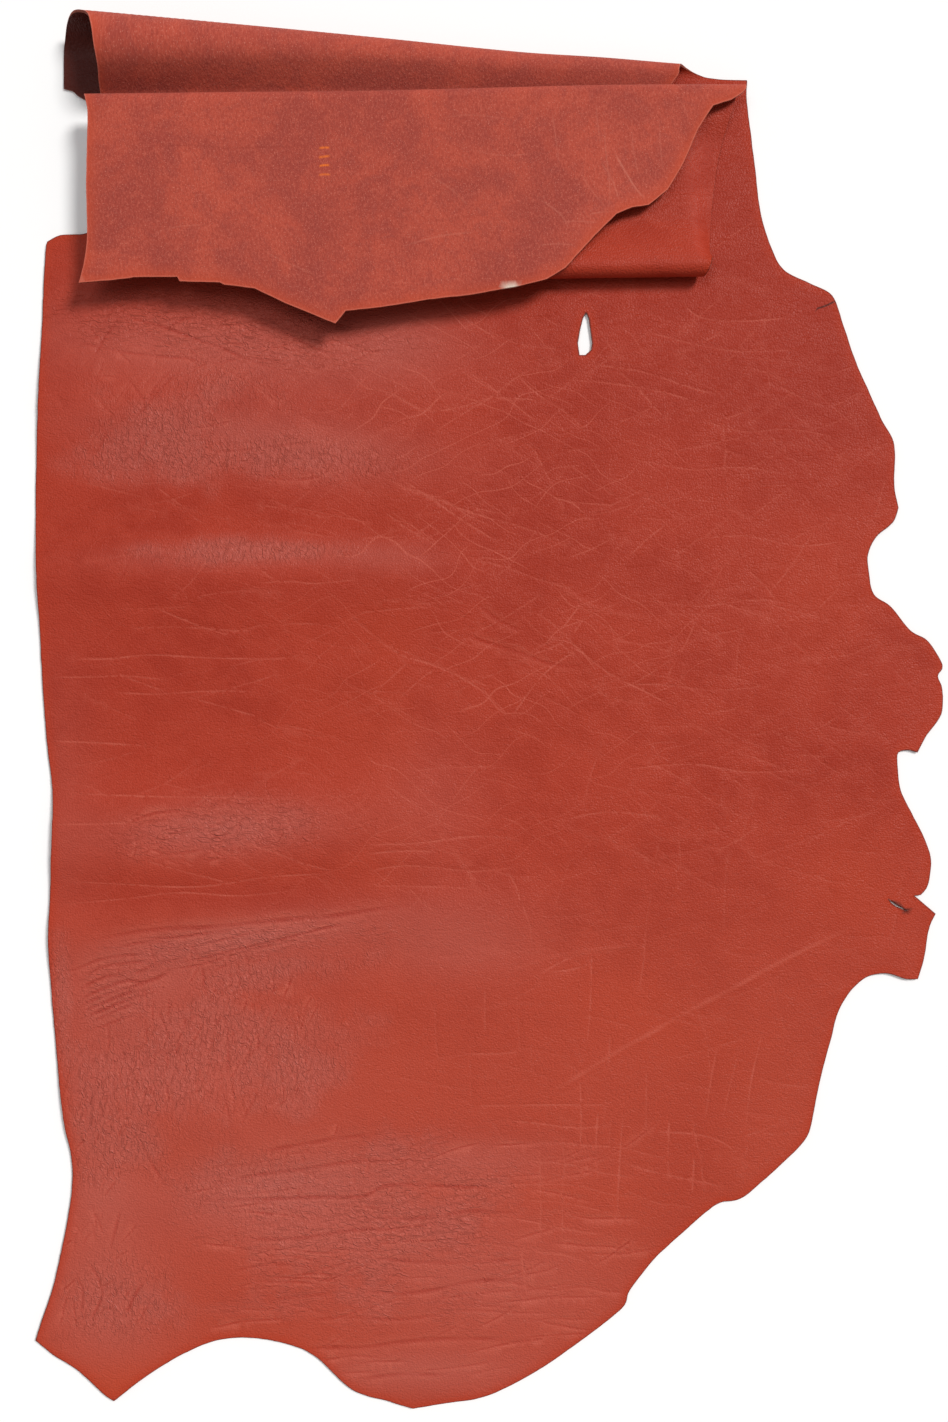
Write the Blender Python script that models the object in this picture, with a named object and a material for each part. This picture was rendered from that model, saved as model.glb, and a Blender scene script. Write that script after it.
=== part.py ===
"""Leather hide: one whole tanned side, laid grain side up, its top end folded
back on itself three times.

One sheet, one solid.  X runs across the hide, Y from its tail end (-Y) to its
folded end (+Y), Z up from the surface it lies on.  Tables are in millimetres
and degrees; the mesh is built in metres.

The sheet is worked out as a strip that travels towards +Y along the surface
("main"), turns over at the top roll, comes back on itself, turns at the lower
roll, goes up again, turns at the flap fold and ends as a loose flap.  Each
cross-section is lines and arcs; their sizes change slowly across the width.
"""
import math

import bmesh
import bpy
from mathutils import Vector
from mathutils.geometry import delaunay_2d_cdt

MM = 0.001

# ---- driving sizes -------------------------------------------------------
THICKNESS = 2.2          # leather
COLUMN_STEP = 38.0       # grid across the hide
MAIN_ROW_STEP = 24.0     # grid along the flat part
FLAP_ROW_STEP = 22.0     # grid along the flap
EDGE_STEP = 15.0         # longest straight piece of a cut edge
EASE_RADIUS = 15.0       # soft bend where a folded layer levels out
MAIN_BLEND_Y = 500.0     # below this the flat part is gridded in plain Y

# Cross-section sizes at stations across the hide.
#  x      station
#  y1 r1 b1   top roll: centre, radius, slope at which its upper layer leaves
#  y2 r2 b2   lower roll: centre, radius, slope of the layer leaving it
#  z2 g2      height and slope of the second layer where it meets that roll
#  y3 r3      flap fold: centre and radius
#  z3 g3      height and slope of the third layer where it meets that fold
#  g4         slope of the flap
SECTION_COLUMNS = ("x", "y1", "r1", "b1", "y2", "r2", "b2", "z2", "g2",
                   "y3", "r3", "z3", "g3", "g4")
SECTIONS = [
    (-400, 591.0, 28.0, 62, 413.0, 8.8, 16, 7.5, 2.0, 535.0, 10.0, 18.0, 2.0, 3.0),
    (-345, 590.0, 26.0, 60, 412.0, 8.8, 16, 7.5, 2.0, 535.5, 10.0, 18.0, 2.0, 3.0),
    (-217, 588.0, 20.0, 50, 406.5, 8.8, 16, 7.3, 2.0, 538.0, 9.5, 17.5, 1.8, 2.3),
    (-100, 585.0, 15.0, 38, 401.5, 8.8, 17, 7.0, 1.9, 540.5, 9.0, 16.5, 1.5, 1.5),
    (27, 577.0, 12.0, 33, 400.5, 8.8, 17, 7.0, 1.5, 545.5, 8.0, 16.0, 1.2, 0.8),
    (100, 575.5, 10.0, 29, 401.5, 8.8, 17, 6.8, 1.1, 548.5, 7.5, 15.0, 0.8, 0.8),
    (168, 574.0, 7.5, 25, 402.5, 8.8, 17, 6.5, 0.7, 551.6, 6.5, 13.0, 0.5, 3.0),
    (225, 573.0, 6.0, 22, 403.5, 8.8, 17, 6.5, 0.5, 555.5, 5.0, 9.5, -1.0, 3.5),
]

# The strip's parts, in order, with the number of grid rows in each.
PARTS = [("main", 0), ("roll", 14), ("drop", 2), ("ease", 3), ("under", 4),
         ("turn", 12), ("slip", 2), ("level", 2), ("third", 3),
         ("fold", 12), ("flap", 0)]
PART_INDEX = {name: i for i, (name, rows) in enumerate(PARTS)}

# Edges of the folded part: how far along which strip part, and where the
# left and the right cut edge are there.
FOLDED_EDGES = [
    # part     along  left    right
    ("roll", 0.00, -379.0, 200.0),
    ("roll", 0.12, -377.0, 187.0),
    ("roll", 0.29, -370.0, 177.0),
    ("roll", 0.43, -360.0, 172.0),
    ("roll", 0.56, -346.0, 169.5),
    ("roll", 0.70, -340.0, 168.0),
    ("roll", 0.86, -338.0, 167.0),
    ("drop", 0.00, -338.0, 166.5),
    ("ease", 0.50, -342.0, 158.0),
    ("under", 0.30, -343.0, 160.0),
    ("under", 0.70, -343.0, 176.0),
    ("turn", 0.00, -342.0, 187.0),
    ("turn", 0.50, -341.0, 190.0),
    ("turn", 1.00, -341.0, 195.0),
    ("level", 0.50, -343.0, 197.0),
    ("third", 0.50, -346.0, 204.0),
    ("fold", 0.00, -350.0, 219.0),
    ("fold", 0.50, -352.5, 224.5),
    ("fold", 1.00, -348.0, 224.5),
]

# Cut edge of the flat part, as runs between corners, going round clockwise
# from the corner beside the top roll.
EDGE_SHOULDER = [(230, 572), (230, 552), (237, 496), (242, 454), (252, 422),
                 (263, 403), (286, 391), (306, 380), (316, 353), (326, 323),
                 (337, 298), (350, 269), (361, 247), (361, 212), (365, 191)]
EDGE_FRONT_LEG = [(365, 191), (360, 178), (345, 165), (338, 150), (338, 137),
                  (343, 114), (358, 103), (375, 82), (391, 72), (404, 51),
                  (400, 41), (404, 29), (403, 7), (390, -12), (382, -27)]
EDGE_UPPER_LOBE = [(382, -27), (374, -25), (365, -27), (364, -37), (367, -61),
                   (377, -82), (388, -104), (394, -123), (391, -145),
                   (385, -154)]
EDGE_LOWER_LOBE = [(398, -171), (392, -185), (388, -209), (382, -229)]
EDGE_BELLY = [(382, -229), (372, -229), (353, -224), (332, -230), (313, -254),
              (304, -285), (295, -319), (289, -349), (284, -368), (272, -383),
              (245, -408), (224, -425), (203, -430), (175, -453), (148, -478),
              (126, -506), (118, -523), (81, -552), (40, -580), (-3, -601),
              (-38, -607), (-68, -612)]
EDGE_TAIL = [(-68, -612), (-88, -606), (-122, -595), (-153, -567),
             (-175, -556), (-210, -549), (-242, -551), (-272, -563),
             (-304, -582), (-334, -605)]
EDGE_SHANK = [(-334, -605), (-344, -598), (-366, -578), (-388, -564),
              (-404, -551)]
EDGE_BACK = [(-404, -551), (-399, -535), (-386, -494), (-373, -427),
             (-372, -390), (-378, -359), (-383, -319), (-390, -241),
             (-392, -187), (-388, -80), (-394, -20), (-399, 53), (-404, 188),
             (-401, 290), (-396, 409), (-394, 428)]
EDGE_NOTCH = [(-394, 428), (-382, 434), (-359, 436), (-349, 449), (-346, 492),
              (-349, 532), (-356, 551), (-367, 559), (-371, 563), (-379, 565)]
FLAT_RUNS = [EDGE_SHOULDER, EDGE_FRONT_LEG, EDGE_UPPER_LOBE,
             [(385, -154), (379, -155), (398, -171)],
             EDGE_LOWER_LOBE, EDGE_BELLY, EDGE_TAIL, EDGE_SHANK, EDGE_BACK,
             EDGE_NOTCH]

# Ragged free end of the flap, from its right tip to its left corner.
FLAP_END = [(212, 546), (196, 540), (183, 520), (170, 490), (156, 466),
            (139, 452), (124, 449), (111, 443), (92, 424), (66, 395),
            (50, 385), (26, 379), (-14, 372), (-52, 368), (-95, 361),
            (-125, 358), (-134, 347), (-153, 355), (-176, 364), (-204, 377),
            (-230, 380), (-234, 382), (-269, 383), (-271, 387), (-309, 387),
            (-312, 386), (-332, 384), (-357, 382)]
FLAP_LEFT = [(-357, 382), (-352, 400), (-349, 424), (-349, 472), (-347, 519)]

# Holes through the flat part: rows from one end of the hole to the other.
CUT_HOLE = [  # y, left x, right x
    (364.5, 86.0, 87.0),
    (360.0, 83.6, 89.0),
    (349.0, 81.0, 90.8),
    (338.0, 79.2, 92.1),
    (331.5, 79.8, 91.2),
    (327.0, 80.6, 85.9),
]

# Low waves that the leather keeps where it lifts off the surface.
#  from (x0, y0) to (x1, y1), half width of the wave, its height
WAVES = [
    # x0    y0    x1    y1   half  height
    (-520, 136, 60, 118, 60.0, 4.0),
    (-520, -112, 20, -86, 70.0, 4.5),
    (-520, -196, 120, -160, 42.0, 3.0),
    (-560, 300, -60, 268, 70.0, 3.0),
    (-470, -330, -60, -372, 60.0, 3.0),
    (-330, -520, -40, -440, 48.0, 2.6),
]
WAVE_END_FADE = 150.0    # how far a wave takes to die out at its ends
FLAP_SAG = 0.8           # soft unevenness of the flap


def smooth_step(t):
    t = min(1.0, max(0.0, t))
    return t * t * (3.0 - 2.0 * t)


def cubic(p0, p1, p2, p3, t):
    """Catmull-Rom between p1 and p2."""
    return 0.5 * (2.0 * p1 + (p2 - p0) * t
                  + (2.0 * p0 - 5.0 * p1 + 4.0 * p2 - p3) * t * t
                  + (3.0 * p1 - p0 - 3.0 * p2 + p3) * t * t * t)


def sizes_at(x):
    """The cross-section sizes at x, read smoothly between the stations."""
    xs = [row[0] for row in SECTIONS]
    x = min(max(x, xs[0]), xs[-1])
    k = 0
    while k < len(xs) - 2 and x > xs[k + 1]:
        k += 1
    t = (x - xs[k]) / (xs[k + 1] - xs[k])
    out = {}
    for c, name in enumerate(SECTION_COLUMNS[1:], start=1):
        p1, p2 = SECTIONS[k][c], SECTIONS[k + 1][c]
        h = xs[k + 1] - xs[k]
        if k > 0:
            m1 = (p2 - SECTIONS[k - 1][c]) / (xs[k + 1] - xs[k - 1]) * h
        else:
            m1 = p2 - p1
        if k < len(xs) - 2:
            m2 = (SECTIONS[k + 2][c] - p1) / (xs[k + 2] - xs[k]) * h
        else:
            m2 = p2 - p1
        a, b = t * t, t * t * t
        out[name] = ((2 * b - 3 * a + 1) * p1 + (b - 2 * a + t) * m1
                     + (3 * a - 2 * b) * p2 + (b - a) * m2)
    return out


class Section:
    """One cross-section of the strip at x: lines and arcs in (y, z).

    Heading is the angle of travel, 0 towards +Y and 90 straight up.  A piece
    is (y, z, heading, length, turn): turn 0 is a line, turn > 0 an arc to the
    left, which is upwards while travelling towards +Y.
    """

    def __init__(self, x):
        s = sizes_at(x)
        half = 0.5 * THICKNESS
        rad = math.radians
        b1, g2, b2, g3, g4 = (rad(s[k]) for k in ("b1", "g2", "b2", "g3", "g4"))
        pieces = []
        # top roll
        self.main_end = s["y1"]
        y, z, h = s["y1"], half, 0.0
        pieces.append((0.0, half, 0.0, None, 0.0))
        y, z, h = self.add_arc(pieces, y, z, h, s["r1"], math.pi + b1)
        # second layer down to the lower roll
        turn = -(b1 - g2)
        end_h = math.pi + g2
        target = (s["y2"] + math.sin(g2) * s["r2"],
                  s["z2"] + s["r2"] * (1.0 - math.cos(g2)))
        y, z, h = self.add_bent_run(pieces, y, z, h, turn, end_h, target)
        # lower roll
        y, z, h = self.add_arc(pieces, y, z, h, s["r2"], -(math.pi + g2 + b2))
        # third layer up to the flap fold
        turn = b2 + g3
        end_h = g3
        target = (s["y3"] + math.sin(g3) * s["r3"],
                  s["z3"] + s["r3"] * (1.0 - math.cos(g3)))
        y, z, h = self.add_bent_run(pieces, y, z, h, turn, end_h, target)
        # flap fold and flap
        y, z, h = self.add_arc(pieces, y, z, h, s["r3"], math.pi - g3 + g4)
        pieces.append((y, z, h, None, 0.0))
        self.pieces = pieces

    @staticmethod
    def step(y, z, h, length, turn, along):
        if abs(turn) < 1e-9:
            return (y + math.cos(h) * length * along,
                    z + math.sin(h) * length * along, h)
        r = length / turn
        a = turn * along
        return (y + r * (math.sin(h + a) - math.sin(h)),
                z - r * (math.cos(h + a) - math.cos(h)), h + a)

    def add_arc(self, pieces, y, z, h, radius, turn):
        length = radius * abs(turn)
        pieces.append((y, z, h, length, turn))
        return self.step(y, z, h, length, turn, 1.0)

    def add_bent_run(self, pieces, y, z, h, turn, end_h, target):
        """Line, soft bend, line: from here to the target with heading end_h."""
        radius = EASE_RADIUS
        bend = self.step(0.0, 0.0, h, radius * abs(turn), turn, 1.0)
        dy, dz = target[0] - y - bend[0], target[1] - z - bend[1]
        c1, s1 = math.cos(h), math.sin(h)
        c2, s2 = math.cos(end_h), math.sin(end_h)
        det = c1 * s2 - c2 * s1
        first = (dy * s2 - c2 * dz) / det
        last = (c1 * dz - s1 * dy) / det
        if first < 0.0 or last < 0.0:
            raise ValueError("layer does not fit between its folds")
        pieces.append((y, z, h, first, 0.0))
        y, z, h = self.step(y, z, h, first, 0.0, 1.0)
        pieces.append((y, z, h, radius * abs(turn), turn))
        y, z, h = self.step(y, z, h, radius * abs(turn), turn, 1.0)
        pieces.append((y, z, h, last, 0.0))
        return self.step(y, z, h, last, 0.0, 1.0)

    def length(self, part):
        return self.pieces[part][3]

    def point(self, part, along):
        """(y, z, heading); along is a fraction, or mm on main and flap."""
        y, z, h, length, turn = self.pieces[part]
        if part == 0:
            return (along, z, 0.0)
        if length is None:
            return self.step(y, z, h, 1.0, 0.0, along)
        return self.step(y, z, h, length, turn, along)


# ---- the strip laid out flat: (x, v) ------------------------------------
MIDDLE = Section(-60.0)
PART_START = [0.0, MIDDLE.main_end]
for index in range(1, len(PARTS) - 1):
    PART_START.append(PART_START[-1] + MIDDLE.length(index))
SECTION_CACHE = {}


def section(x):
    key = round(x, 4)
    if key not in SECTION_CACHE:
        SECTION_CACHE[key] = Section(x)
    return SECTION_CACHE[key]


def to_v(part, x, along):
    """Place on the flat strip: along is mm on main and flap, else 0 to 1."""
    if part == 0:
        if along <= MAIN_BLEND_Y:
            return along
        end = section(x).main_end
        return MAIN_BLEND_Y + (along - MAIN_BLEND_Y) / (end - MAIN_BLEND_Y) \
            * (PART_START[1] - MAIN_BLEND_Y)
    if part == len(PARTS) - 1:
        return PART_START[-1] + along
    return PART_START[part] + along * (PART_START[part + 1] - PART_START[part])


def from_v(x, v):
    if v <= MAIN_BLEND_Y:
        return 0, v
    if v <= PART_START[1]:
        end = section(x).main_end
        return 0, MAIN_BLEND_Y + (v - MAIN_BLEND_Y) * (end - MAIN_BLEND_Y) \
            / (PART_START[1] - MAIN_BLEND_Y)
    for part in range(1, len(PARTS) - 1):
        if v <= PART_START[part + 1]:
            return part, (v - PART_START[part]) \
                / (PART_START[part + 1] - PART_START[part])
    return len(PARTS) - 1, v - PART_START[-1]


def flap_v(x, y):
    sec = section(x)
    y0, z0, h, length, turn = sec.pieces[-1]
    return PART_START[-1] + max(0.0, (y0 - y) / -math.cos(h))


def wave_height(x, y):
    """Lift of the flat part off the surface, zero over most of it."""
    total = 0.0
    for x0, y0, x1, y1, half, height in WAVES:
        dx, dy = x1 - x0, y1 - y0
        span = math.hypot(dx, dy)
        t = ((x - x0) * dx + (y - y0) * dy) / span
        d = ((y - y0) * dx - (x - x0) * dy) / span
        if abs(d) >= half or t <= 0.0 or t >= span:
            continue
        fade = smooth_step(t / WAVE_END_FADE) \
            * smooth_step((span - t) / WAVE_END_FADE)
        total += height * fade * math.cos(0.5 * math.pi * d / half) ** 2
    return total


def middle_point(x, v):
    """Middle surface of the leather, in mm."""
    part, along = from_v(x, v)
    y, z, h = section(x).point(part, along)
    if part == 0:
        z += wave_height(x, y)
    elif part == len(PARTS) - 1:
        reach = smooth_step(along / 120.0)
        z += FLAP_SAG * reach * (math.sin(x / 46.0 + 0.6)
                                 + 0.5 * math.sin(x / 21.0))
    return Vector((x, y, z))


def surface(x, v):
    """Middle point and the grain-side normal."""
    e = 0.4
    p = middle_point(x, v)
    if v < MAIN_BLEND_Y and wave_height(x, v) == 0.0:
        return p, Vector((0.0, 0.0, 1.0))
    px = middle_point(x + e, v) - middle_point(x - e, v)
    pv = middle_point(x, v + e) - middle_point(x, v - e)
    return p, px.cross(pv).normalized()


# ---- outline of the flat strip ------------------------------------------
def smooth_run(points, step):
    """Points along a smooth curve through the given ones, both ends kept."""
    out = [points[0]]
    for i in range(len(points) - 1):
        p1, p2 = points[i], points[i + 1]
        p0 = points[i - 1] if i > 0 else p1
        p3 = points[i + 2] if i + 2 < len(points) else p2
        count = max(1, math.ceil(math.dist(p1, p2) / step))
        for k in range(1, count + 1):
            t = k / count
            out.append((cubic(p0[0], p1[0], p2[0], p3[0], t),
                        cubic(p0[1], p1[1], p2[1], p3[1], t)))
    return out


def straight_run(points, step):
    out = [points[0]]
    for p1, p2 in zip(points, points[1:]):
        count = max(1, math.ceil(math.dist(p1, p2) / step))
        for k in range(1, count + 1):
            out.append((p1[0] + (p2[0] - p1[0]) * k / count,
                        p1[1] + (p2[1] - p1[1]) * k / count))
    return out


def add_row_crossings(points, rows):
    """Edge points where the edge crosses a grid row of the folded part."""
    out = [points[0]]
    for p1, p2 in zip(points, points[1:]):
        lo, hi = min(p1[1], p2[1]), max(p1[1], p2[1])
        inside = [r for r in rows if lo + 0.3 < r < hi - 0.3]
        if p2[1] < p1[1]:
            inside.reverse()
        for r in inside:
            t = (r - p1[1]) / (p2[1] - p1[1])
            out.append((p1[0] + (p2[0] - p1[0]) * t, r))
        out.append(p2)
    return out


def grid_rows():
    rows = []
    count = math.ceil((MAIN_BLEND_Y + 620.0) / MAIN_ROW_STEP)
    for k in range(count + 1):
        rows.append(MAIN_BLEND_Y - k * MAIN_ROW_STEP)
    rows.reverse()
    rows += [0.5 * (MAIN_BLEND_Y + PART_START[1]), PART_START[1]]
    for part in range(1, len(PARTS) - 1):
        n = PARTS[part][1]
        lo, hi = PART_START[part], PART_START[part + 1]
        rows += [lo + (hi - lo) * k / n for k in range(1, n + 1)]
    last = rows[-1]
    rows += [last + FLAP_ROW_STEP * k for k in range(1, 10)]
    return rows


def strip_outline(rows, step):
    folded = [(PART_INDEX[part], along, left, right)
              for part, along, left, right in FOLDED_EDGES]
    right = [(r, to_v(p, r, a)) for p, a, l, r in folded]
    left = [(l, to_v(p, l, a)) for p, a, l, r in folded]
    corner = FLAT_RUNS[0][0]
    tip = (FLAP_END[0][0], flap_v(*FLAP_END[0]))
    # right edge, from the flat corner over the folds to the flap tip
    outline = smooth_run([(corner[0], to_v(0, *corner))] + right + [tip],
                         step)[:-1]
    outline += straight_run([(x, flap_v(x, y)) for x, y in FLAP_END],
                            step)[:-1]
    outline += smooth_run([(x, flap_v(x, y)) for x, y in FLAP_LEFT]
                          + left[::-1]
                          + [(FLAT_RUNS[-1][-1][0],
                              to_v(0, *FLAT_RUNS[-1][-1]))], step)[:-1]
    for run in reversed(FLAT_RUNS):
        pts = [(x, to_v(0, x, y)) for x, y in reversed(run)]
        if len(pts) > 3:
            outline += smooth_run(pts, step)[:-1]
        else:
            outline += straight_run(pts, step)[:-1]
    outline.append(outline[0])
    fold_rows = [r for r in rows if r >= PART_START[1] - 1e-6]
    return add_row_crossings(outline, fold_rows)[:-1]


def hole_outline():
    up = [(left, y) for y, left, right in CUT_HOLE]
    down = [(right, y) for y, left, right in reversed(CUT_HOLE)]
    return up + down


def inside(poly, x, v):
    hit = False
    j = len(poly) - 1
    for i in range(len(poly)):
        xi, vi = poly[i]
        xj, vj = poly[j]
        if (vi > v) != (vj > v) and x < (xj - xi) * (v - vi) / (vj - vi) + xi:
            hit = not hit
        j = i
    return hit


def edge_distance(poly, x, v):
    best = 1e9
    for (ax, av), (bx, bv) in zip(poly, poly[1:] + poly[:1]):
        dx, dv = bx - ax, bv - av
        ll = dx * dx + dv * dv
        t = 0.0 if ll == 0.0 else \
            min(1.0, max(0.0, ((x - ax) * dx + (v - av) * dv) / ll))
        d = math.hypot(x - ax - dx * t, v - av - dv * t)
        best = min(best, d)
    return best


def flat_mesh():
    """Triangles over the laid-out strip: points (x, v) and index triples."""
    rows = grid_rows()
    outline = strip_outline(rows, EDGE_STEP)
    hole = hole_outline()
    points = [Vector(p) for p in outline]
    loops = [list(range(len(outline)))]
    loops.append(list(range(len(points), len(points) + len(hole))))
    points += [Vector(p) for p in hole]
    columns = [(k - 11) * COLUMN_STEP for k in range(23)]
    for k, v in enumerate(rows):
        gap = min(v - rows[k - 1] if k else 99.0,
                  rows[k + 1] - v if k + 1 < len(rows) else 99.0)
        keep_off = min(9.0, max(1.2, 0.6 * gap))
        for x in columns:
            if not inside(outline, x, v) or inside(hole, x, v):
                continue
            if edge_distance(outline, x, v) < keep_off:
                continue
            if v < MAIN_BLEND_Y and edge_distance(hole, x, v) < 6.0:
                continue
            points.append(Vector((x, v)))
    edges = []
    for loop in loops:
        edges += list(zip(loop, loop[1:] + loop[:1]))
    verts, out_edges, faces, ov, oe, of_ = delaunay_2d_cdt(
        points, edges, [], 0, 1e-5)
    keep = []
    for f in faces:
        a, b, c = (verts[i] for i in f)
        area = 0.5 * ((b[0] - a[0]) * (c[1] - a[1])
                      - (c[0] - a[0]) * (b[1] - a[1]))
        if abs(area) < 0.05:      # three points along one straight edge
            continue
        cx = sum(verts[i][0] for i in f) / 3.0
        cv = sum(verts[i][1] for i in f) / 3.0
        if inside(outline, cx, cv) and not inside(hole, cx, cv):
            keep.append(tuple(f))
    return [(v[0], v[1]) for v in verts], keep


def build_hide():
    flat, faces = flat_mesh()
    used = sorted({i for f in faces for i in f})
    remap = {old: new for new, old in enumerate(used)}
    flat = [flat[i] for i in used]
    faces = [tuple(remap[i] for i in f) for f in faces]
    grain, flesh = [], []
    for x, v in flat:
        p, n = surface(x, v)
        grain.append(p + n * (0.5 * THICKNESS))
        flesh.append(p - n * (0.5 * THICKNESS))
    # rim: boundary edges of the triangles
    count = {}
    for f in faces:
        for a, b in ((f[0], f[1]), (f[1], f[2]), (f[2], f[0])):
            count[(a, b)] = count.get((a, b), 0) + 1
    rim = [(a, b) for (a, b) in count if (b, a) not in count]
    n = len(flat)
    xs = [p.x for p in grain + flesh]
    ys = [p.y for p in grain + flesh]
    cx = 0.5 * (min(xs) + max(xs))
    cy = 0.5 * (min(ys) + max(ys))
    bm = bmesh.new()
    verts = [bm.verts.new(((p.x - cx) * MM, (p.y - cy) * MM, p.z * MM))
             for p in grain + flesh]
    for a, b, c in faces:
        bm.faces.new((verts[a], verts[b], verts[c]))
        bm.faces.new((verts[c + n], verts[b + n], verts[a + n]))
    for a, b in rim:
        bm.faces.new((verts[b], verts[a], verts[a + n]))
        bm.faces.new((verts[b], verts[a + n], verts[b + n]))
    bm.normal_update()
    mesh = bpy.data.meshes.new("hide")
    bm.to_mesh(mesh)
    bm.free()
    return mesh


def leather_material():
    mat = bpy.data.materials.new("red_brown_leather")
    mat.use_nodes = True
    bsdf = mat.node_tree.nodes["Principled BSDF"]
    bsdf.inputs["Base Color"].default_value = (0.36, 0.052, 0.035, 1.0)
    bsdf.inputs["Roughness"].default_value = 0.48
    bsdf.inputs["Metallic"].default_value = 0.0
    return mat


for old in list(bpy.data.objects):
    bpy.data.objects.remove(old, do_unlink=True)

hide = bpy.data.objects.new("hide", build_hide())
hide.data.materials.append(leather_material())
bpy.context.scene.collection.objects.link(hide)
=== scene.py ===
"""Looks of the leather hide: one thin closed sheet on the folds of the CAD
solid, with its creases, wrinkles, scars and cut edge, and three procedural
materials (grain side, flesh side, cut edge).  Tables are in millimetres on
the hide as it lies, X across and Y from tail to folded end."""
import math

import bpy
import numpy as np
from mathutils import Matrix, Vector, kdtree
from mathutils.geometry import delaunay_2d_cdt


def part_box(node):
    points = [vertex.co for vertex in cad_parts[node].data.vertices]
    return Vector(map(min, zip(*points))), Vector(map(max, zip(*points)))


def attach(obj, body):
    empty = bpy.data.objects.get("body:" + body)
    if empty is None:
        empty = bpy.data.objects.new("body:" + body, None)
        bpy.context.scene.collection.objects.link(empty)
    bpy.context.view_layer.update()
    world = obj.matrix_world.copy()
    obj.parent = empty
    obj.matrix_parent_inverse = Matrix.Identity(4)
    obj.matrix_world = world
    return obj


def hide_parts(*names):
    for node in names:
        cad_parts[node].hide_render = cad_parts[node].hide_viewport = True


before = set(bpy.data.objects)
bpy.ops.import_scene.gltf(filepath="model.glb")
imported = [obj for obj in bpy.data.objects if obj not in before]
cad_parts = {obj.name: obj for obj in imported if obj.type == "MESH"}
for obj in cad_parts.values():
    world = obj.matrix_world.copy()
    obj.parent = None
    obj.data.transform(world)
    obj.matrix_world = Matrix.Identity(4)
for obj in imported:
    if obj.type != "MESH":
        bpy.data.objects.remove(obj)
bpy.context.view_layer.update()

MM = 0.001

# ======================================================================
# camera, floor and light
# ======================================================================
CAMERA_AT = (-0.01353, 0.00684, 1.150)
VIEW_SIDE = 1.2698                       # long side of the view at the floor


def add_camera():
    data = bpy.data.cameras.new("camera")
    data.sensor_fit = "VERTICAL"
    data.sensor_height = 24.0
    data.lens = 24.0 * CAMERA_AT[2] / VIEW_SIDE
    data.clip_start, data.clip_end = 0.01, 50.0
    cam = bpy.data.objects.new("camera", data)
    cam.location = CAMERA_AT
    bpy.context.scene.collection.objects.link(cam)
    bpy.context.scene.camera = cam


add_camera()
bpy.context.scene.view_settings.view_transform = "Standard"


def link(obj):
    bpy.context.scene.collection.objects.link(obj)
    return obj


def soft_sun(name, way_from, strength, spread, colour):
    """Even studio light from one side: a wide disc far away."""
    data = bpy.data.lights.new(name, "SUN")
    data.energy = strength
    data.angle = math.radians(spread)
    data.color = colour
    obj = link(bpy.data.objects.new(name, data))
    obj.rotation_mode = "QUATERNION"
    obj.rotation_quaternion = (-Vector(way_from)).to_track_quat("-Z", "Y")
    obj.location = Vector(way_from).normalized() * 3.0
    return obj


soft_sun("key", (0.70, 0.52, 1.0), 2.50, 17.0, (1.0, 0.985, 0.965))
soft_sun("second", (-0.24, 0.20, 1.0), 0.66, 34.0, (0.985, 0.99, 1.0))

world = bpy.data.worlds.new("studio")
bpy.context.scene.world = world
world.use_nodes = True
world.node_tree.nodes["Background"].inputs["Color"].default_value = \
    (1.0, 1.0, 1.0, 1.0)
world.node_tree.nodes["Background"].inputs["Strength"].default_value = 0.28


def add_floor():
    size = 60.0
    mesh = bpy.data.meshes.new("floor")
    mesh.from_pydata([(-size, -size, -0.0004), (size, -size, -0.0004),
                      (size, size, -0.0004), (-size, size, -0.0004)],
                     [], [(0, 1, 2, 3)])
    mat = bpy.data.materials.new("pale_floor")
    mat.use_nodes = True
    bsdf = mat.node_tree.nodes["Principled BSDF"]
    bsdf.inputs["Base Color"].default_value = (0.95, 0.95, 0.95, 1.0)
    bsdf.inputs["Roughness"].default_value = 0.9
    bsdf.inputs["Specular IOR Level"].default_value = 0.2
    mesh.materials.append(mat)
    obj = link(bpy.data.objects.new("floor", mesh))


add_floor()

# ======================================================================
# shape of the hide, as in the CAD
# ======================================================================
THICKNESS = 2.2
EASE_RADIUS = 15.0
MAIN_BLEND_Y = 500.0

SECTION_COLUMNS = ("x", "y1", "r1", "b1", "y2", "r2", "b2", "z2", "g2",
                   "y3", "r3", "z3", "g3", "g4")
SECTIONS = [
    (-400, 591.0, 28.0, 62, 413.0, 8.8, 16, 7.5, 2.0, 535.0, 10.0, 18.0, 2.0, 3.0),
    (-345, 590.0, 26.0, 60, 412.0, 8.8, 16, 7.5, 2.0, 535.5, 10.0, 18.0, 2.0, 3.0),
    (-217, 588.0, 20.0, 50, 406.5, 8.8, 16, 7.3, 2.0, 538.0, 9.5, 17.5, 1.8, 2.3),
    (-100, 585.0, 15.0, 38, 401.5, 8.8, 17, 7.0, 1.9, 540.5, 9.0, 16.5, 1.5, 1.5),
    (27, 577.0, 12.0, 33, 400.5, 8.8, 17, 7.0, 1.5, 545.5, 8.0, 16.0, 1.2, 0.8),
    (100, 575.5, 10.0, 29, 401.5, 8.8, 17, 6.8, 1.1, 548.5, 7.5, 15.0, 0.8, 0.8),
    (168, 574.0, 7.5, 25, 402.5, 8.8, 17, 6.5, 0.7, 551.6, 6.5, 13.0, 0.5, 3.0),
    (225, 573.0, 6.0, 22, 403.5, 8.8, 17, 6.5, 0.5, 555.5, 5.0, 9.5, -1.0, 3.5),
]
PART_NAMES = ["main", "roll", "drop", "ease", "under", "turn", "slip",
              "level", "third", "fold", "flap"]
PART_INDEX = {name: i for i, name in enumerate(PART_NAMES)}
FLAP = len(PART_NAMES) - 1

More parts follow.
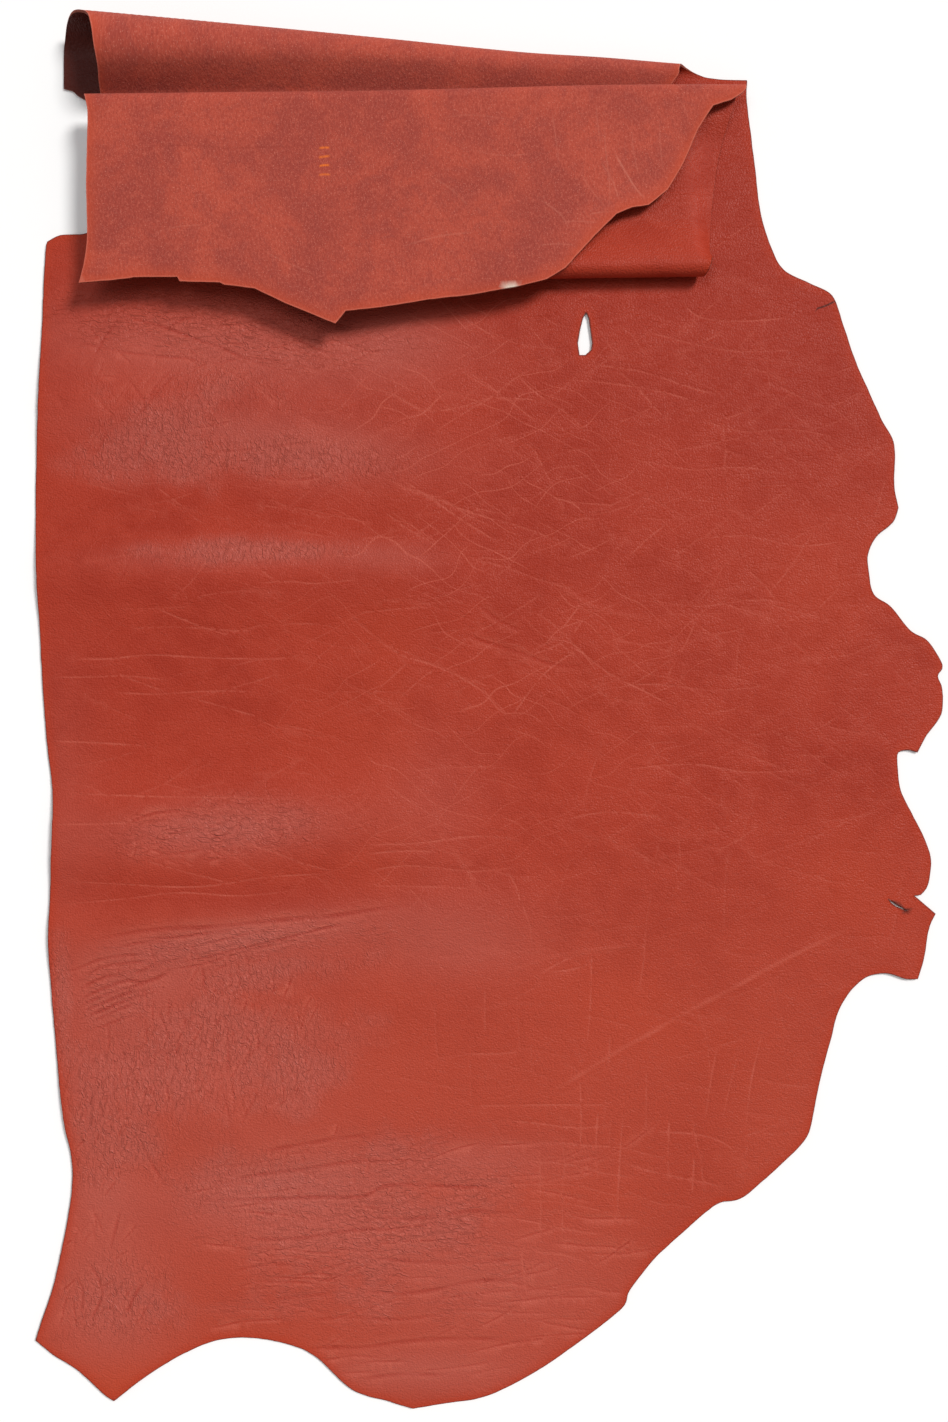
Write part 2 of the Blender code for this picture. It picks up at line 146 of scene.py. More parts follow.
FOLDED_EDGES = [
    ("roll", 0.00, -379.0, 200.0),
    ("roll", 0.12, -377.0, 187.0),
    ("roll", 0.29, -370.0, 177.0),
    ("roll", 0.43, -360.0, 172.0),
    ("roll", 0.56, -346.0, 169.5),
    ("roll", 0.70, -340.0, 168.0),
    ("roll", 0.86, -338.0, 167.0),
    ("drop", 0.00, -338.0, 166.5),
    ("ease", 0.50, -342.0, 158.0),
    ("under", 0.30, -343.0, 160.0),
    ("under", 0.70, -343.0, 176.0),
    ("turn", 0.00, -342.0, 187.0),
    ("turn", 0.50, -341.0, 190.0),
    ("turn", 1.00, -341.0, 195.0),
    ("level", 0.50, -343.0, 197.0),
    ("third", 0.50, -346.0, 204.0),
    ("fold", 0.00, -350.0, 219.0),
    ("fold", 0.50, -352.5, 224.5),
    ("fold", 1.00, -348.0, 224.5),
]
EDGE_SHOULDER = [(230, 572), (230, 552), (237, 496), (242, 454), (252, 422),
                 (263, 403), (286, 391), (306, 380), (316, 353), (326, 323),
                 (337, 298), (350, 269), (361, 247), (361, 212), (365, 191)]
EDGE_FRONT_LEG = [(365, 191), (360, 178), (345, 165), (338, 150), (338, 137),
                  (343, 114), (358, 103), (375, 82), (391, 72), (404, 51),
                  (400, 41), (404, 29), (403, 7), (390, -12), (382, -27)]
EDGE_UPPER_LOBE = [(382, -27), (374, -25), (365, -27), (364, -37), (367, -61),
                   (377, -82), (388, -104), (394, -123), (391, -145),
                   (385, -154)]
EDGE_SNICK = [(385, -154), (379, -155), (398, -171)]
EDGE_LOWER_LOBE = [(398, -171), (392, -185), (388, -209), (382, -229)]
EDGE_BELLY = [(382, -229), (372, -229), (353, -224), (332, -230), (313, -254),
              (304, -285), (295, -319), (289, -349), (284, -368), (272, -383),
              (245, -408), (224, -425), (203, -430), (175, -453), (148, -478),
              (126, -506), (118, -523), (81, -552), (40, -580), (-3, -601),
              (-38, -607), (-68, -612)]
EDGE_TAIL = [(-68, -612), (-88, -606), (-122, -595), (-153, -567),
             (-175, -556), (-210, -549), (-242, -551), (-272, -563),
             (-304, -582), (-334, -605)]
EDGE_SHANK = [(-334, -605), (-344, -598), (-366, -578), (-388, -564),
              (-404, -551)]
EDGE_BACK = [(-404, -551), (-399, -535), (-386, -494), (-373, -427),
             (-372, -390), (-378, -359), (-383, -319), (-390, -241),
             (-392, -187), (-388, -80), (-394, -20), (-399, 53), (-404, 188),
             (-401, 290), (-396, 409), (-394, 428)]
EDGE_NOTCH = [(-394, 428), (-382, 434), (-359, 436), (-349, 449), (-346, 492),
              (-349, 532), (-356, 551), (-367, 559), (-371, 563), (-379, 565)]
FLAT_RUNS = [EDGE_SHOULDER, EDGE_FRONT_LEG, EDGE_UPPER_LOBE, EDGE_SNICK,
             EDGE_LOWER_LOBE, EDGE_BELLY, EDGE_TAIL, EDGE_SHANK, EDGE_BACK,
             EDGE_NOTCH]
FLAP_END = [(212, 546), (196, 540), (183, 520), (170, 490), (156, 466),
            (139, 452), (124, 449), (111, 443), (92, 424), (66, 395),
            (50, 385), (26, 379), (-14, 372), (-52, 368), (-95, 361),
            (-125, 358), (-134, 347), (-153, 355), (-176, 364), (-204, 377),
            (-230, 380), (-234, 382), (-269, 383), (-271, 387), (-309, 387),
            (-312, 386), (-332, 384), (-357, 382)]
FLAP_LEFT = [(-357, 382), (-352, 400), (-349, 424), (-349, 472), (-347, 519)]
CUT_HOLE = [(364.5, 86.0, 87.0), (360.0, 83.6, 89.0), (349.0, 81.0, 90.8),
            (338.0, 79.2, 92.1), (331.5, 79.8, 91.2), (327.0, 80.6, 85.9)]
SLIT_HOLE = [(356.0, -157.9), (358.8, -161.8), (363.2, -165.0),
             (368.4, -166.9), (371.6, -167.7), (368.6, -165.5),
             (363.8, -163.3), (359.6, -160.4)]
WAVES = [
    (-520, 136, 60, 118, 60.0, 4.0),
    (-520, -112, 20, -86, 70.0, 4.5),
    (-520, -196, 120, -160, 42.0, 3.0),
    (-560, 300, -60, 268, 70.0, 3.0),
    (-470, -330, -60, -372, 60.0, 3.0),
    (-330, -520, -40, -440, 48.0, 2.6),
]
WAVE_END_FADE = 150.0
FLAP_SAG = 0.8

# ---- creases, wrinkles and scars -----------------------------------------
# depth, half width, lightness of the line, then its points
CREASES = [
    # step below the valley and the long lines beside it
    (0.55, 3.2, 0.25, [(-363.6, -196.6), (-335, -190.4), (-306.4, -185.5),
        (-278.7, -183.2), (-250.2, -182.4), (-222.5, -179.7), (-193.9, -177),
        (-165.3, -174.3), (-139.4, -172.5), (-97.5, -166.3), (-52.8, -160.9)]),
    (0.60, 2.4, 0.35, [(-311.8, -193.1), (-278.7, -191.3), (-250.2, -187.7),
        (-222.5, -184.1)]),
    (0.70, 2.2, 0.45, [(-286.8, -218.1), (-268.9, -212.7), (-250.2, -209.1),
        (-222.5, -202), (-184.1, -193.1), (-146.6, -183.2), (-115.3, -177.9)]),
    (0.50, 2.0, 0.40, [(-293.9, -220.7), (-267.1, -218.1), (-244.8, -212.7),
        (-213.6, -202.9), (-177.8, -194.9), (-139.4, -186.8)]),
    (0.45, 2.0, 0.30, [(-285, -203.8), (-258.2, -198.4), (-235, -193.1),
        (-202.8, -185.9), (-168.9, -180.6)]),
    # fan of short deep wrinkles
    (0.70, 2.6, 0.35, [(-367.2, -239.5), (-351.1, -230.6), (-336.8, -226.1),
        (-320.7, -227.9)]),
    (0.80, 2.6, 0.40, [(-366.3, -247.5), (-343.9, -237.7), (-322.5, -230.6),
        (-302.9, -231.5), (-282.3, -222.5)]),
    (0.85, 2.8, 0.40, [(-365.4, -252.9), (-338.6, -242.2), (-315.4, -235),
        (-295.7, -227.9), (-279.6, -220.7)]),
    (0.80, 2.6, 0.40, [(-362.7, -258.3), (-335, -246.6), (-311.8, -237.7)]),
    (0.75, 2.6, 0.35, [(-359.1, -262.7), (-335, -252.9), (-315.4, -244.9)]),
    (0.65, 2.6, 0.30, [(-355.5, -268.1), (-335, -258.3), (-313.6, -250.2)]),
    (0.55, 2.4, 0.30, [(-360, -226.1), (-343.9, -218.1), (-320.7, -214.5),
        (-301.1, -213.6)]),
    (0.55, 2.4, 0.30, [(-365.4, -219), (-347.5, -211.8), (-327.9, -208.2),
        (-306.4, -206.5)]),
    (0.45, 2.2, 0.25, [(-383.2, -225.2), (-365.4, -219), (-354.7, -214.5)]),
    (0.50, 2.2, 0.25, [(-315.4, -223.4), (-293.9, -215.4), (-270.7, -210)]),
    (0.50, 2.2, 0.25, [(-329.7, -200.2), (-306.4, -195.7), (-283.2, -195.7)]),
    (0.55, 2.4, 0.25, [(-352.9, -274.3), (-331.4, -266.3), (-311.8, -259.1)]),
    # folds running down the left third
    (0.55, 2.4, 0.25, [(-270.7, -193.1), (-261.8, -203.8), (-255.5, -219.9),
        (-252.9, -239.5), (-245.7, -252)]),
    (0.50, 2.2, 0.25, [(-302.9, -191.3), (-300.2, -205.6), (-295.7, -218.1)]),
    (0.45, 2.2, 0.25, [(-218, -203.8), (-214.5, -216.3), (-213.6, -230.6)]),
    (0.50, 2.4, 0.25, [(-238.6, -255.6), (-233.2, -275.2), (-232.3, -298.4),
        (-233.2, -316.3)]),
    (0.45, 2.2, 0.20, [(-254.6, -257.4), (-270.7, -269.9), (-276.1, -289.5),
        (-274.3, -307.4)]),
    (0.40, 2.2, 0.20, [(-295.7, -255.6), (-288.6, -271.7), (-285, -287.7)]),
    (0.45, 2.2, 0.20, [(-188.6, -266.3), (-202.8, -284.2), (-217.1, -303.8),
        (-224.3, -319.9)]),
    (0.35, 2.0, 0.20, [(-317.1, -284.2), (-311.8, -300.2), (-313.6, -319.9),
        (-320.7, -341.3)]),
    (0.35, 2.0, 0.20, [(-340.4, -266.3), (-338.6, -284.2), (-342.2, -303.8)]),
    (0.50, 2.4, 0.25, [(-310, -373.5), (-299.3, -395.8), (-288.6, -411.9)]),
    (0.40, 2.2, 0.20, [(-326.1, -348.4), (-317.1, -362.7), (-306.4, -380.6)]),
    (0.60, 2.4, 0.25, [(-306.4, -496.7), (-317.1, -513.7), (-324.3, -530.6)]),
    (0.50, 2.4, 0.25, [(-341.3, -501.2), (-347.5, -519), (-355.5, -533.3)]),
    (0.40, 2.2, 0.20, [(-358.2, -481.5), (-348.4, -494.9), (-342.2, -514.5)]),
    (0.40, 2.2, 0.20, [(-204.6, -327.9), (-215.3, -346.7), (-220.7, -361)]),
    (0.40, 2.2, 0.20, [(-237.7, -327), (-232.3, -344.9), (-229.6, -359.2)]),
    (0.35, 2.2, 0.20, [(-368.9, -491.3), (-361.8, -507.4), (-363.6, -530.6)]),
    (0.35, 2.2, 0.20, [(-327.9, -432.4), (-333.2, -453.8), (-338.6, -473.5)]),
    # bands of soft folds across the lower middle
    (0.55, 3.0, 0.20, [(-209.1, -383.3), (-177.8, -377.9), (-140.3, -371.7),
        (-101.9, -367.2)]),
    (0.50, 3.0, 0.20, [(-247.5, -412.7), (-207.3, -403.8), (-167.1, -398.5),
        (-115.3, -391.3), (-45.7, -392.2)]),
    (0.65, 3.0, 0.25, [(-275.2, -427.9), (-234.1, -426.1), (-193.9, -425.2),
        (-151.1, -423.5), (-112.7, -422.6), (-85.9, -412.7), (-13.5, -414.5),
        (27.5, -411)]),
    (0.50, 3.0, 0.20, [(-234.1, -456.5), (-207.3, -460.1), (-167.1, -459.2),
        (-112.7, -452), (-59.1, -454.7)]),
    (0.55, 3.0, 0.25, [(-118, -506.5), (-80.5, -509.2), (-51, -506.5), (-13.5, -498.5),
        (27.5, -496.7)]),
    (0.55, 3.0, 0.25, [(-177.8, -560.1), (-140.3, -557.4), (-112.7, -557.4),
        (-72.5, -552.1), (-13.5, -549.4), (36.5, -552.1)]),
    (0.45, 3.0, 0.20, [(-118, -441.3), (-59.1, -442.2), (-13.5, -436), (36.5, -439.5)]),
    (0.40, 3.0, 0.20, [(-193.9, -514.5), (-140.3, -509.2)]),
    (0.45, 3.0, 0.20, [(-112.7, -476.1), (-59.1, -481.5), (-13.5, -481.5), (45.4, -477)]),
    (0.35, 2.6, 0.20, [(-168.9, -534.2), (-124.3, -530.6), (-79.6, -532.4), (-35, -527)]),
    (0.35, 2.6, 0.20, [(-231.4, -489.5), (-195.7, -482.4), (-151.1, -484.2)]),
    (0.40, 2.8, 0.20, [(-115.3, -586), (-79.6, -581.5), (-35, -582.4)]),
    # sheen patch wrinkles
    (0.40, 2.0, 0.35, [(-324.3, -93.1), (-311.8, -85.9), (-293.9, -80.5),
        (-267.1, -78.8)]),
    (0.35, 2.0, 0.30, [(-315.4, -112.7), (-293.9, -107.3), (-279.6, -98.4),
        (-258.2, -94.8), (-245.7, -103.8)]),
    (0.35, 2.0, 0.30, [(-279.6, -93.1), (-258.2, -91.3), (-242.1, -102), (-226.1, -94.8)]),
    (0.35, 2.0, 0.30, [(-229.6, -80.5), (-220.7, -91.3), (-231.4, -103.8)]),
    (0.35, 2.0, 0.30, [(-206.4, -78.8), (-202.8, -96.6), (-210, -110.9)]),
    (0.35, 2.0, 0.30, [(-177.8, -77), (-176.1, -91.3), (-168.9, -103.8)]),
    (0.30, 2.0, 0.30, [(-160, -75.2), (-156.4, -89.5), (-160, -102)]),
    (0.30, 2.0, 0.30, [(-302.9, -119.8), (-276.1, -116.3), (-249.3, -112.7)]),
    # left edge, upper
    (0.35, 2.2, 0.15, [(-323.4, 307), (-312.7, 294.5), (-305.5, 285.6), (-295.7, 289.2)]),
    (0.35, 2.0, 0.15, [(-279.6, 315.9), (-293.9, 301.7), (-302.9, 287.4),
        (-311.8, 278.4)]),
    (0.30, 2.0, 0.15, [(-351.1, 253.4), (-343.9, 264.1), (-331.4, 271.3)]),
    (0.30, 2.0, 0.15, [(-349.3, 349.9), (-338.6, 362.4), (-331.4, 373.1),
        (-322.5, 357), (-318.9, 337.4)]),
    # below the flap
    (0.60, 2.2, 0.10, [(-320.7, 372.2), (-332.3, 356.1), (-343.9, 340.1),
        (-353.8, 321.3)]),
    (0.60, 2.2, 0.15, [(-338.6, 367.7), (-313.6, 358.8), (-285.9, 350.8),
        (-262.7, 341.8), (-239.5, 333.8), (-219.8, 324.9), (-201.1, 317.7),
        (-181.4, 310.6), (-163.6, 302.5)]),
    (0.50, 2.2, 0.15, [(-375.2, 340.1), (-350.2, 334.7), (-322.5, 329.3),
        (-293.9, 325.8), (-268.9, 324), (-245.7, 319.5), (-219.8, 324),
        (-196.6, 322.2), (-171.6, 319.5)]),
    (0.50, 2.2, 0.20, [(-222.5, 362.4), (-201.1, 355.2), (-181.4, 346.3),
        (-161.8, 336.5), (-135, 324.9)]),
    (0.45, 2.0, 0.10, [(-285.9, 350.8), (-276.1, 357.9), (-262.7, 361.5)]),
    (0.40, 2.0, 0.10, [(-309.1, 341.8), (-299.3, 350.8), (-290.4, 352.6)]),
    (0.25, 1.8, 0.40, [(-245.7, 319.5), (-226.1, 309.7), (-206.4, 298.1),
        (-186.8, 283.8), (-169.8, 274.9)]),
    (0.50, 2.2, 0.05, [(-317.1, 268.6), (-307.3, 278.4), (-297.5, 290),
        (-285.9, 303.4), (-276.1, 313.3)]),
    (0.45, 2.2, 0.05, [(-317.1, 240), (-303.8, 255.2), (-293.9, 268.6)]),
    (0.50, 2.2, 0.05, [(-350.2, 237.4), (-342.2, 253.4), (-338.6, 263.3)]),
    (0.35, 2.0, 0.10, [(-315.4, 233.8), (-310, 244.5), (-302.9, 255.2)]),
    (0.30, 2.0, 0.35, [(-274.3, 260.6), (-249.3, 263.3), (-224.3, 268.6)]),
    (0.30, 2.0, 0.10, [(-392.2, 296.3), (-381.4, 285.6), (-377.9, 276.7)]),
    (0.30, 2.0, 0.25, [(-261.8, 246.3), (-243.9, 240.9), (-213.6, 242.7),
        (-186.8, 246.3), (-151.1, 249)]),
    (0.30, 2.0, 0.30, [(-213.6, 221.3), (-177.8, 215.9), (-142.1, 219.5)]),
    (0.30, 2.0, 0.20, [(-343, 224.9), (-338.6, 235.6), (-331.4, 240.9)]),
    (0.35, 2.0, 0.10, [(-343.9, 144.5), (-340.4, 155.2), (-335.9, 164.1)]),
    (0.35, 2.0, 0.10, [(-329.7, 122.2), (-322.5, 135.6), (-318, 148.1)]),
    # right of the middle, soft broad
    (0.35, 2.6, 0.20, [(-11.7, 106.1), (9.7, 90), (31.1, 80.2)]),
    (0.35, 2.6, 0.25, [(-28.7, 80.2), (-0.1, 70.4), (28.4, 61.4), (57, 51.6), (91, 48.9)]),
]
# thin light lines: lightness, then the points
LINES = [
    (0.50, [(-50.1, 257), (-28.7, 271.3), (-0.1, 288.3), (24, 307), (42.7, 316.8)]),
    (0.50, [(-93, 295.4), (-71.6, 283.8), (-52.8, 276.7), (-24.2, 281.1),
        (-0.1, 288.3), (24, 288.3), (52.6, 285.6)]),
    (0.50, [(-18.9, 312.4), (5.2, 295.4), (28.4, 278.4), (48.1, 262.4)]),
    (0.45, [(24, 309.7), (42.7, 292.7), (66.8, 276.7), (86.5, 259.7)]),
    (0.50, [(-81.4, 218.6), (-52.8, 199.9), (-24.2, 180.2), (9.7, 158.8)]),
    (0.50, [(-76, 211.5), (-40.3, 195.4), (-4.6, 182.9), (31.1, 173.1), (81.1, 154.3)]),
    (0.45, [(-93, 187.4), (-71.6, 171.3), (-52.8, 159.7)]),
    (0.45, [(28.4, 173.1), (57, 161.5), (86.5, 149.8)]),
    (0.35, [(52.6, 199.9), (81.1, 195.4), (115.1, 192.7)]),
    (0.40, [(122.2, 144.5), (139.2, 161.5), (160.6, 178.4)]),
    (0.55, [(-102.8, 75.7), (-76, 58.8), (-52.8, 51.6), (-24.2, 39.1), (-0.1, 23),
        (19.5, 3.4)]),
    (0.50, [(28.4, 104.3), (57, 87.3), (81.1, 63.2), (109.7, 41.8), (143.6, 24.8),
        (169.5, 10.5)]),
    (0.50, [(65.1, 82.9), (81.1, 104.3)]),
    (0.50, [(74, 76.6), (84.7, 92.7)]),
    (0.40, [(157.9, 39.1), (176.7, 73), (183.8, 90)]),
    (0.45, [(-67.1, 180.2), (-45.7, 199.9), (-24.2, 209.7)]),
    (0.45, [(19.5, 3.4), (48.1, 41.8), (81.1, 65.9)]),
    (0.40, [(-17.1, 144.5), (9.7, 139.1), (45.4, 126.6), (76.7, 117.7)]),
    (0.40, [(-97.5, 108.8), (-61.8, 105.2), (-24.2, 108.8)]),
    (0.45, [(-81.4, 19.5), (-61.8, 37.3), (-47.5, 48)]),
    (0.40, [(-110, 19.5), (-81.4, 44.5), (-70.7, 55.2)]),
    (0.40, [(90.1, 318.6), (134.7, 312.4), (179.4, 298.1), (206.1, 290.9)]),
    (0.40, [(-2.8, 349.9), (27.5, 336.5), (63.3, 332)]),
    (0.40, [(-39.4, 371.3), (-17.1, 357), (9.7, 339.2)]),
    (0.55, [(-383.2, 56.1), (-342.2, 56.1), (-302, 59.7), (-247.5, 57), (-193.9, 56.1),
        (-151.1, 56.1)]),
    (0.45, [(-391.3, 40), (-355.5, 40), (-323.4, 40.9), (-285.9, 37.3)]),
    (0.45, [(-320.7, 82.9), (-285.9, 84.7), (-247.5, 82.9), (-210, 80.2)]),
    (0.50, [(-296.6, 101.6), (-264.5, 88.2), (-226.1, 74.8)]),
    (0.45, [(-334.1, 26.6), (-296.6, 24.8), (-247.5, 27.5), (-204.6, 26.6)]),
    (0.45, [(-275.2, 23.9), (-242.1, 15), (-204.6, 4.3)]),
    (0.45, [(-207.3, 123.1), (-177.8, 124.8), (-153.7, 123.1), (-115.3, 126.6)]),
    (0.35, [(-185.9, 177.5), (-167.1, 169.5), (-139.4, 164.1)]),
    (0.45, [(-101.9, 69.5), (-77.8, 64.1), (-48.4, 50.7), (-16.2, 37.3), (9.7, 28.4)]),
    (0.45, [(-85.9, 209.7), (-59.1, 204.3), (-37.6, 196.3), (-16.2, 182.9), (9.7, 171.3)]),
    (0.40, [(-88.5, 188.2), (-64.4, 172.2), (-43.9, 157.9)]),
    (0.50, [(-388.6, -17.1), (-342.2, -18.9), (-302, -21.6)]),
    (0.55, [(-377.9, -63.6), (-302, -66.3), (-231.4, -67.2), (-167.1, -68.9)]),
    (0.45, [(-391.3, -91.3), (-342.2, -90.4), (-302, -88.6)]),
    (0.55, [(-383.2, -141.3), (-328.8, -144), (-285.9, -146.6), (-247.5, -145.7),
        (-193.9, -137.7), (-136.8, -135)]),
    (0.45, [(-307.3, -122.5), (-269.8, -133.2), (-231.4, -143.1)]),
    (0.50, [(-226.1, -106.4), (-193.9, -114.5), (-167.1, -125.2), (-136.8, -133.2)]),
    (0.40, [(-285.9, -77), (-220.7, -77), (-167.1, -71.6)]),
    (0.45, [(-383.2, -162.7), (-323.4, -157.3), (-275.2, -152), (-220.7, -154.7),
        (-167.1, -149.3)]),
    (0.50, [(-109.1, -109.1), (-59.1, -107.3), (-13.5, -102), (27.5, -103.8)]),
    (0.45, [(-109.1, -117.2), (-72.5, -114.5), (-43.9, -116.3)]),
    (0.50, [(-109.1, -133.2), (-72.5, -127.9), (-13.5, -133.2), (27.5, -128.8)]),
    (0.45, [(-109.1, -145.7), (-59.1, -146.6), (-13.5, -148.4)]),
    (0.40, [(-75.1, -144), (-59.1, -160), (-47.5, -169.8)]),
    (0.45, [(-17.1, -342.2), (50.8, -341.3), (110.6, -341.3)]),
    (0.55, [(7.9, -354.7), (40.1, -357.4), (78.5, -361.8), (110.6, -359.2)]),
    (0.60, [(-5.5, -382.4), (28.4, -377), (57.9, -375.2), (91.8, -377.9),
        (119.5, -379.7), (147.2, -386.8), (165.1, -390.4)]),
    (0.55, [(28.4, -391.3), (74, -394.9), (101.7, -402), (131.1, -406.5)]),
    (0.50, [(115.1, -391.3), (142.7, -400.2), (176.7, -407.4), (210.6, -414.5)]),
    (0.55, [(-17.1, -414.5), (28.4, -412.7), (74, -412.7), (107.9, -420.8),
        (142.7, -425.2)]),
    (0.50, [(28.4, -427), (62.4, -427.9), (97.2, -435.1), (119.5, -439.5)]),
    (0.55, [(-17.1, -441.3), (24, -443.1), (62.4, -451.1), (90.1, -455.6),
        (119.5, -460.1)]),
    (0.50, [(-17.1, -464.5), (16.8, -468.1), (50.8, -473.5), (82.9, -477)]),
    (0.50, [(149, -365.4), (182.9, -367.2), (206.1, -373.5), (222.2, -385.1)]),
    (0.40, [(235.6, -364.5), (256.2, -367.2), (276.7, -364.5)]),
    (0.45, [(119.5, -416.3), (147.2, -427.9), (182.9, -432.4)]),
    (0.50, [(-17.1, -295.8), (6.1, -295.8), (27.5, -294)]),
    (0.55, [(44.5, -364.5), (45.4, -398.5), (46.3, -432.4), (45.4, -464.5)]),
    (0.50, [(32, -464.5), (29.3, -477.9), (32, -496.7), (33.8, -516.3)]),
    (0.50, [(65.1, -364.5), (66.8, -398.5), (65.9, -432.4), (65.1, -464.5)]),
    (0.50, [(81.1, -316.3), (82, -352.9), (81.1, -386.8)]),
    (0.50, [(97.2, -345.8), (95.4, -377.9), (97.2, -410.1)]),
    (0.50, [(119.5, -348.4), (116.8, -386.8), (115.1, -420.8), (114.2, -451.1)]),
    (0.45, [(140.1, -307.4), (140.1, -341.3), (140.1, -369)]),
    (0.50, [(160.6, -352.9), (159.7, -386.8), (160.6, -411.9)]),
    (0.45, [(182.9, -386.8), (181.1, -420.8)]),
    (0.45, [(203.5, -286.8), (197.2, -323.4), (192.8, -352.9)]),
    (0.45, [(222.2, -295.8), (213.3, -329.7), (208.8, -352.9)]),
    (0.45, [(244.5, -273.4), (233.8, -319), (228.5, -364.5)]),
    (0.45, [(107.9, -277.9), (106.1, -307.4)]),
    (0.40, [(37.4, -286.8), (38.3, -319)]),
    (0.50, [(91.8, -204.7), (90.1, -254.7), (87.4, -286.8)]),
    (0.45, [(-3.7, -236.8), (-3.7, -277.9)]),
    (0.55, [(28.4, -159.1), (36.5, -182.4), (38.3, -204.7)]),
    (0.50, [(16.8, -134.1), (24, -146.6), (28.4, -162.7)]),
    (0.45, [(43.6, -226.1), (59.7, -216.3), (81.1, -207.4), (116.8, -203.8)]),
    (0.45, [(50.8, -223.4), (75.8, -219.9), (99, -212.7)]),
    (0.40, [(288.3, -134.1), (300.8, -141.3), (320.5, -144.8)]),
    (0.45, [(170.4, 376.7), (188.3, 360.6), (225.8, 357), (268.7, 360.6)]),
    (0.40, [(134.7, 349.9), (179.4, 337.4), (224, 330.2), (277.6, 332)]),
    (0.40, [(63.3, 305.2), (107.9, 301.7), (152.6, 294.5), (188.3, 283.8)]),
    (0.40, [(188.3, 269.5), (225.8, 258.8), (268.7, 260.6), (309.7, 253.4)]),
    (0.40, [(134.7, 233.8), (179.4, 224.9), (227.6, 226.6), (277.6, 217.7)]),
    (0.40, [(179.4, 162.3), (225.8, 165.9), (277.6, 157), (322.2, 162.3)]),
    (0.35, [(134.7, 108.8), (188.3, 103.4), (241.9, 108.8), (288.3, 99.8)]),
    (0.35, [(99, 28.4), (143.6, 33.8), (202.6, 28.4), (259.7, 33.8)]),
    (0.35, [(116.8, -43), (179.4, -37.7), (232.9, -44.8), (295.4, -41.3)]),
    (0.40, [(63.3, -87.7), (107.9, -80.5), (161.5, -85.9)]),
]
SCARS = [  # broad light bands: lightness, half width, points
    (0.55, 3.0, [(50.8, -332.4), (81.1, -314.5), (110.6, -295.8), (142.7, -277.9),
        (178.5, -257.4), (215.1, -238.6), (251.7, -218.1), (294.6, -196.6),
        (327.6, -181.5)]),
    (0.30, 3.0, [(9.7, -226.1), (45.4, -212.7), (90.1, -203.8), (134.7, -199.3)]),
    (0.30, 4.0, [(63.3, 119.5), (99, 99.8), (143.6, 92.7)]),
]
CUTS = [  # small knife cuts near the edge, drawn as dark lines of painted shade: half width, points
    (1.3, [(292.8, 368.6), (300.8, 371.3), (308, 374.9)]),
    (1.0, [(357.1, -159.1), (364.2, -163.6), (372.2, -168.1)]),
]
# marks on the flesh side of the raised flap, as seen from above:
# lightness (below 0: darker), half width, points
FLAP_MARKS = [
    (0.75, 1.3, [(111.5, 510.6), (121.3, 493.7), (132, 477.6), (141.9, 467.8)]),
    (0.45, 1.1, [(99, 501.7), (109.7, 485.6), (116.8, 466)]),
    (0.40, 1.1, [(102.6, 537.4), (104.3, 510.6), (107.9, 478.5), (106.1, 453.5)]),
    (0.35, 1.1, [(127.6, 533.8), (129.4, 510.6), (134.7, 487.4)]),
    (0.35, 1.1, [(152.6, 539.2), (153.5, 519.5), (156.1, 494.5)]),
    (0.35, 1.1, [(81.1, 492.8), (90.1, 476.7), (102.6, 462.4)]),
    (-0.55, 1.4, [(-307.3, 511.5), (-267.1, 512.4), (-222.5, 510.6), (-168.9, 512.4)]),
    (-0.40, 1.6, [(-226.1, 555.3), (-219.8, 544.6), (-218, 530.3)]),
    (-0.35, 1.6, [(-61.8, 444.5), (-17.1, 451.7), (27.5, 453.5)]),
    (0.35, 1.2, [(-52.8, 487.4), (-33.2, 474.9), (-17.1, 458.8)]),
    (0.40, 1.2, [(-76, 424.9), (-43.9, 433.8), (-11.7, 437.4)]),
    (0.30, 1.1, [(-302.9, 433.8), (-279.6, 441), (-249.3, 442.7)]),
    (0.30, 1.1, [(-202.8, 421.3), (-181.4, 410.6), (-152.8, 398.1)]),
    (0.45, 1.1, [(88.3, 453.5), (102.6, 456.1), (120.4, 457)]),
    (0.45, 1.1, [(63.3, 446.3), (81.1, 447.2), (99, 446.3)]),
    (0.40, 1.1, [(41.8, 424.9), (59.7, 426.7), (77.6, 425.8)]),
    (0.40, 1.1, [(45.4, 466), (63.3, 453.5), (72.2, 439.2)]),
    (0.35, 1.0, [(56.1, 546.3), (59.7, 519.5), (63.3, 494.5)]),
    (0.35, 1.0, [(95.4, 555.3), (97.2, 533.8), (99.9, 512.4)]),
    (0.35, 1.0, [(170.4, 558.8), (175.8, 549.9), (179.4, 541)]),
    (0.35, 1.0, [(-17.1, 510.6), (9.7, 505.3), (40.1, 507)]),
    (0.30, 1.0, [(-43.9, 537.4), (-17.1, 541), (18.6, 537.4)]),
]
# a few short strokes of wax crayon, left by whoever counted the hides
CRAYON = [
    (1.15, 1.5, [(-151.9, 510.6), (-146.6, 511.3), (-141.2, 511.2)]),
    (1.15, 1.5, [(-152.3, 502.7), (-146.9, 503.3), (-141, 504.2)]),
    (1.15, 1.4, [(-151.6, 495.1), (-146.4, 495.9), (-141.6, 495.8)]),
    (1.15, 1.5, [(-152.1, 487), (-146.8, 487.9), (-140.9, 487.5)]),
]


# ======================================================================
# the strip: lines and arcs, read on numpy arrays
# ======================================================================
def smooth(t):
    t = np.clip(t, 0.0, 1.0)
    return t * t * (3.0 - 2.0 * t)


def cubic(p0, p1, p2, p3, t):
    return 0.5 * (2.0 * p1 + (p2 - p0) * t
                  + (2.0 * p0 - 5.0 * p1 + 4.0 * p2 - p3) * t * t
                  + (3.0 * p1 - p0 - 3.0 * p2 + p3) * t * t * t)


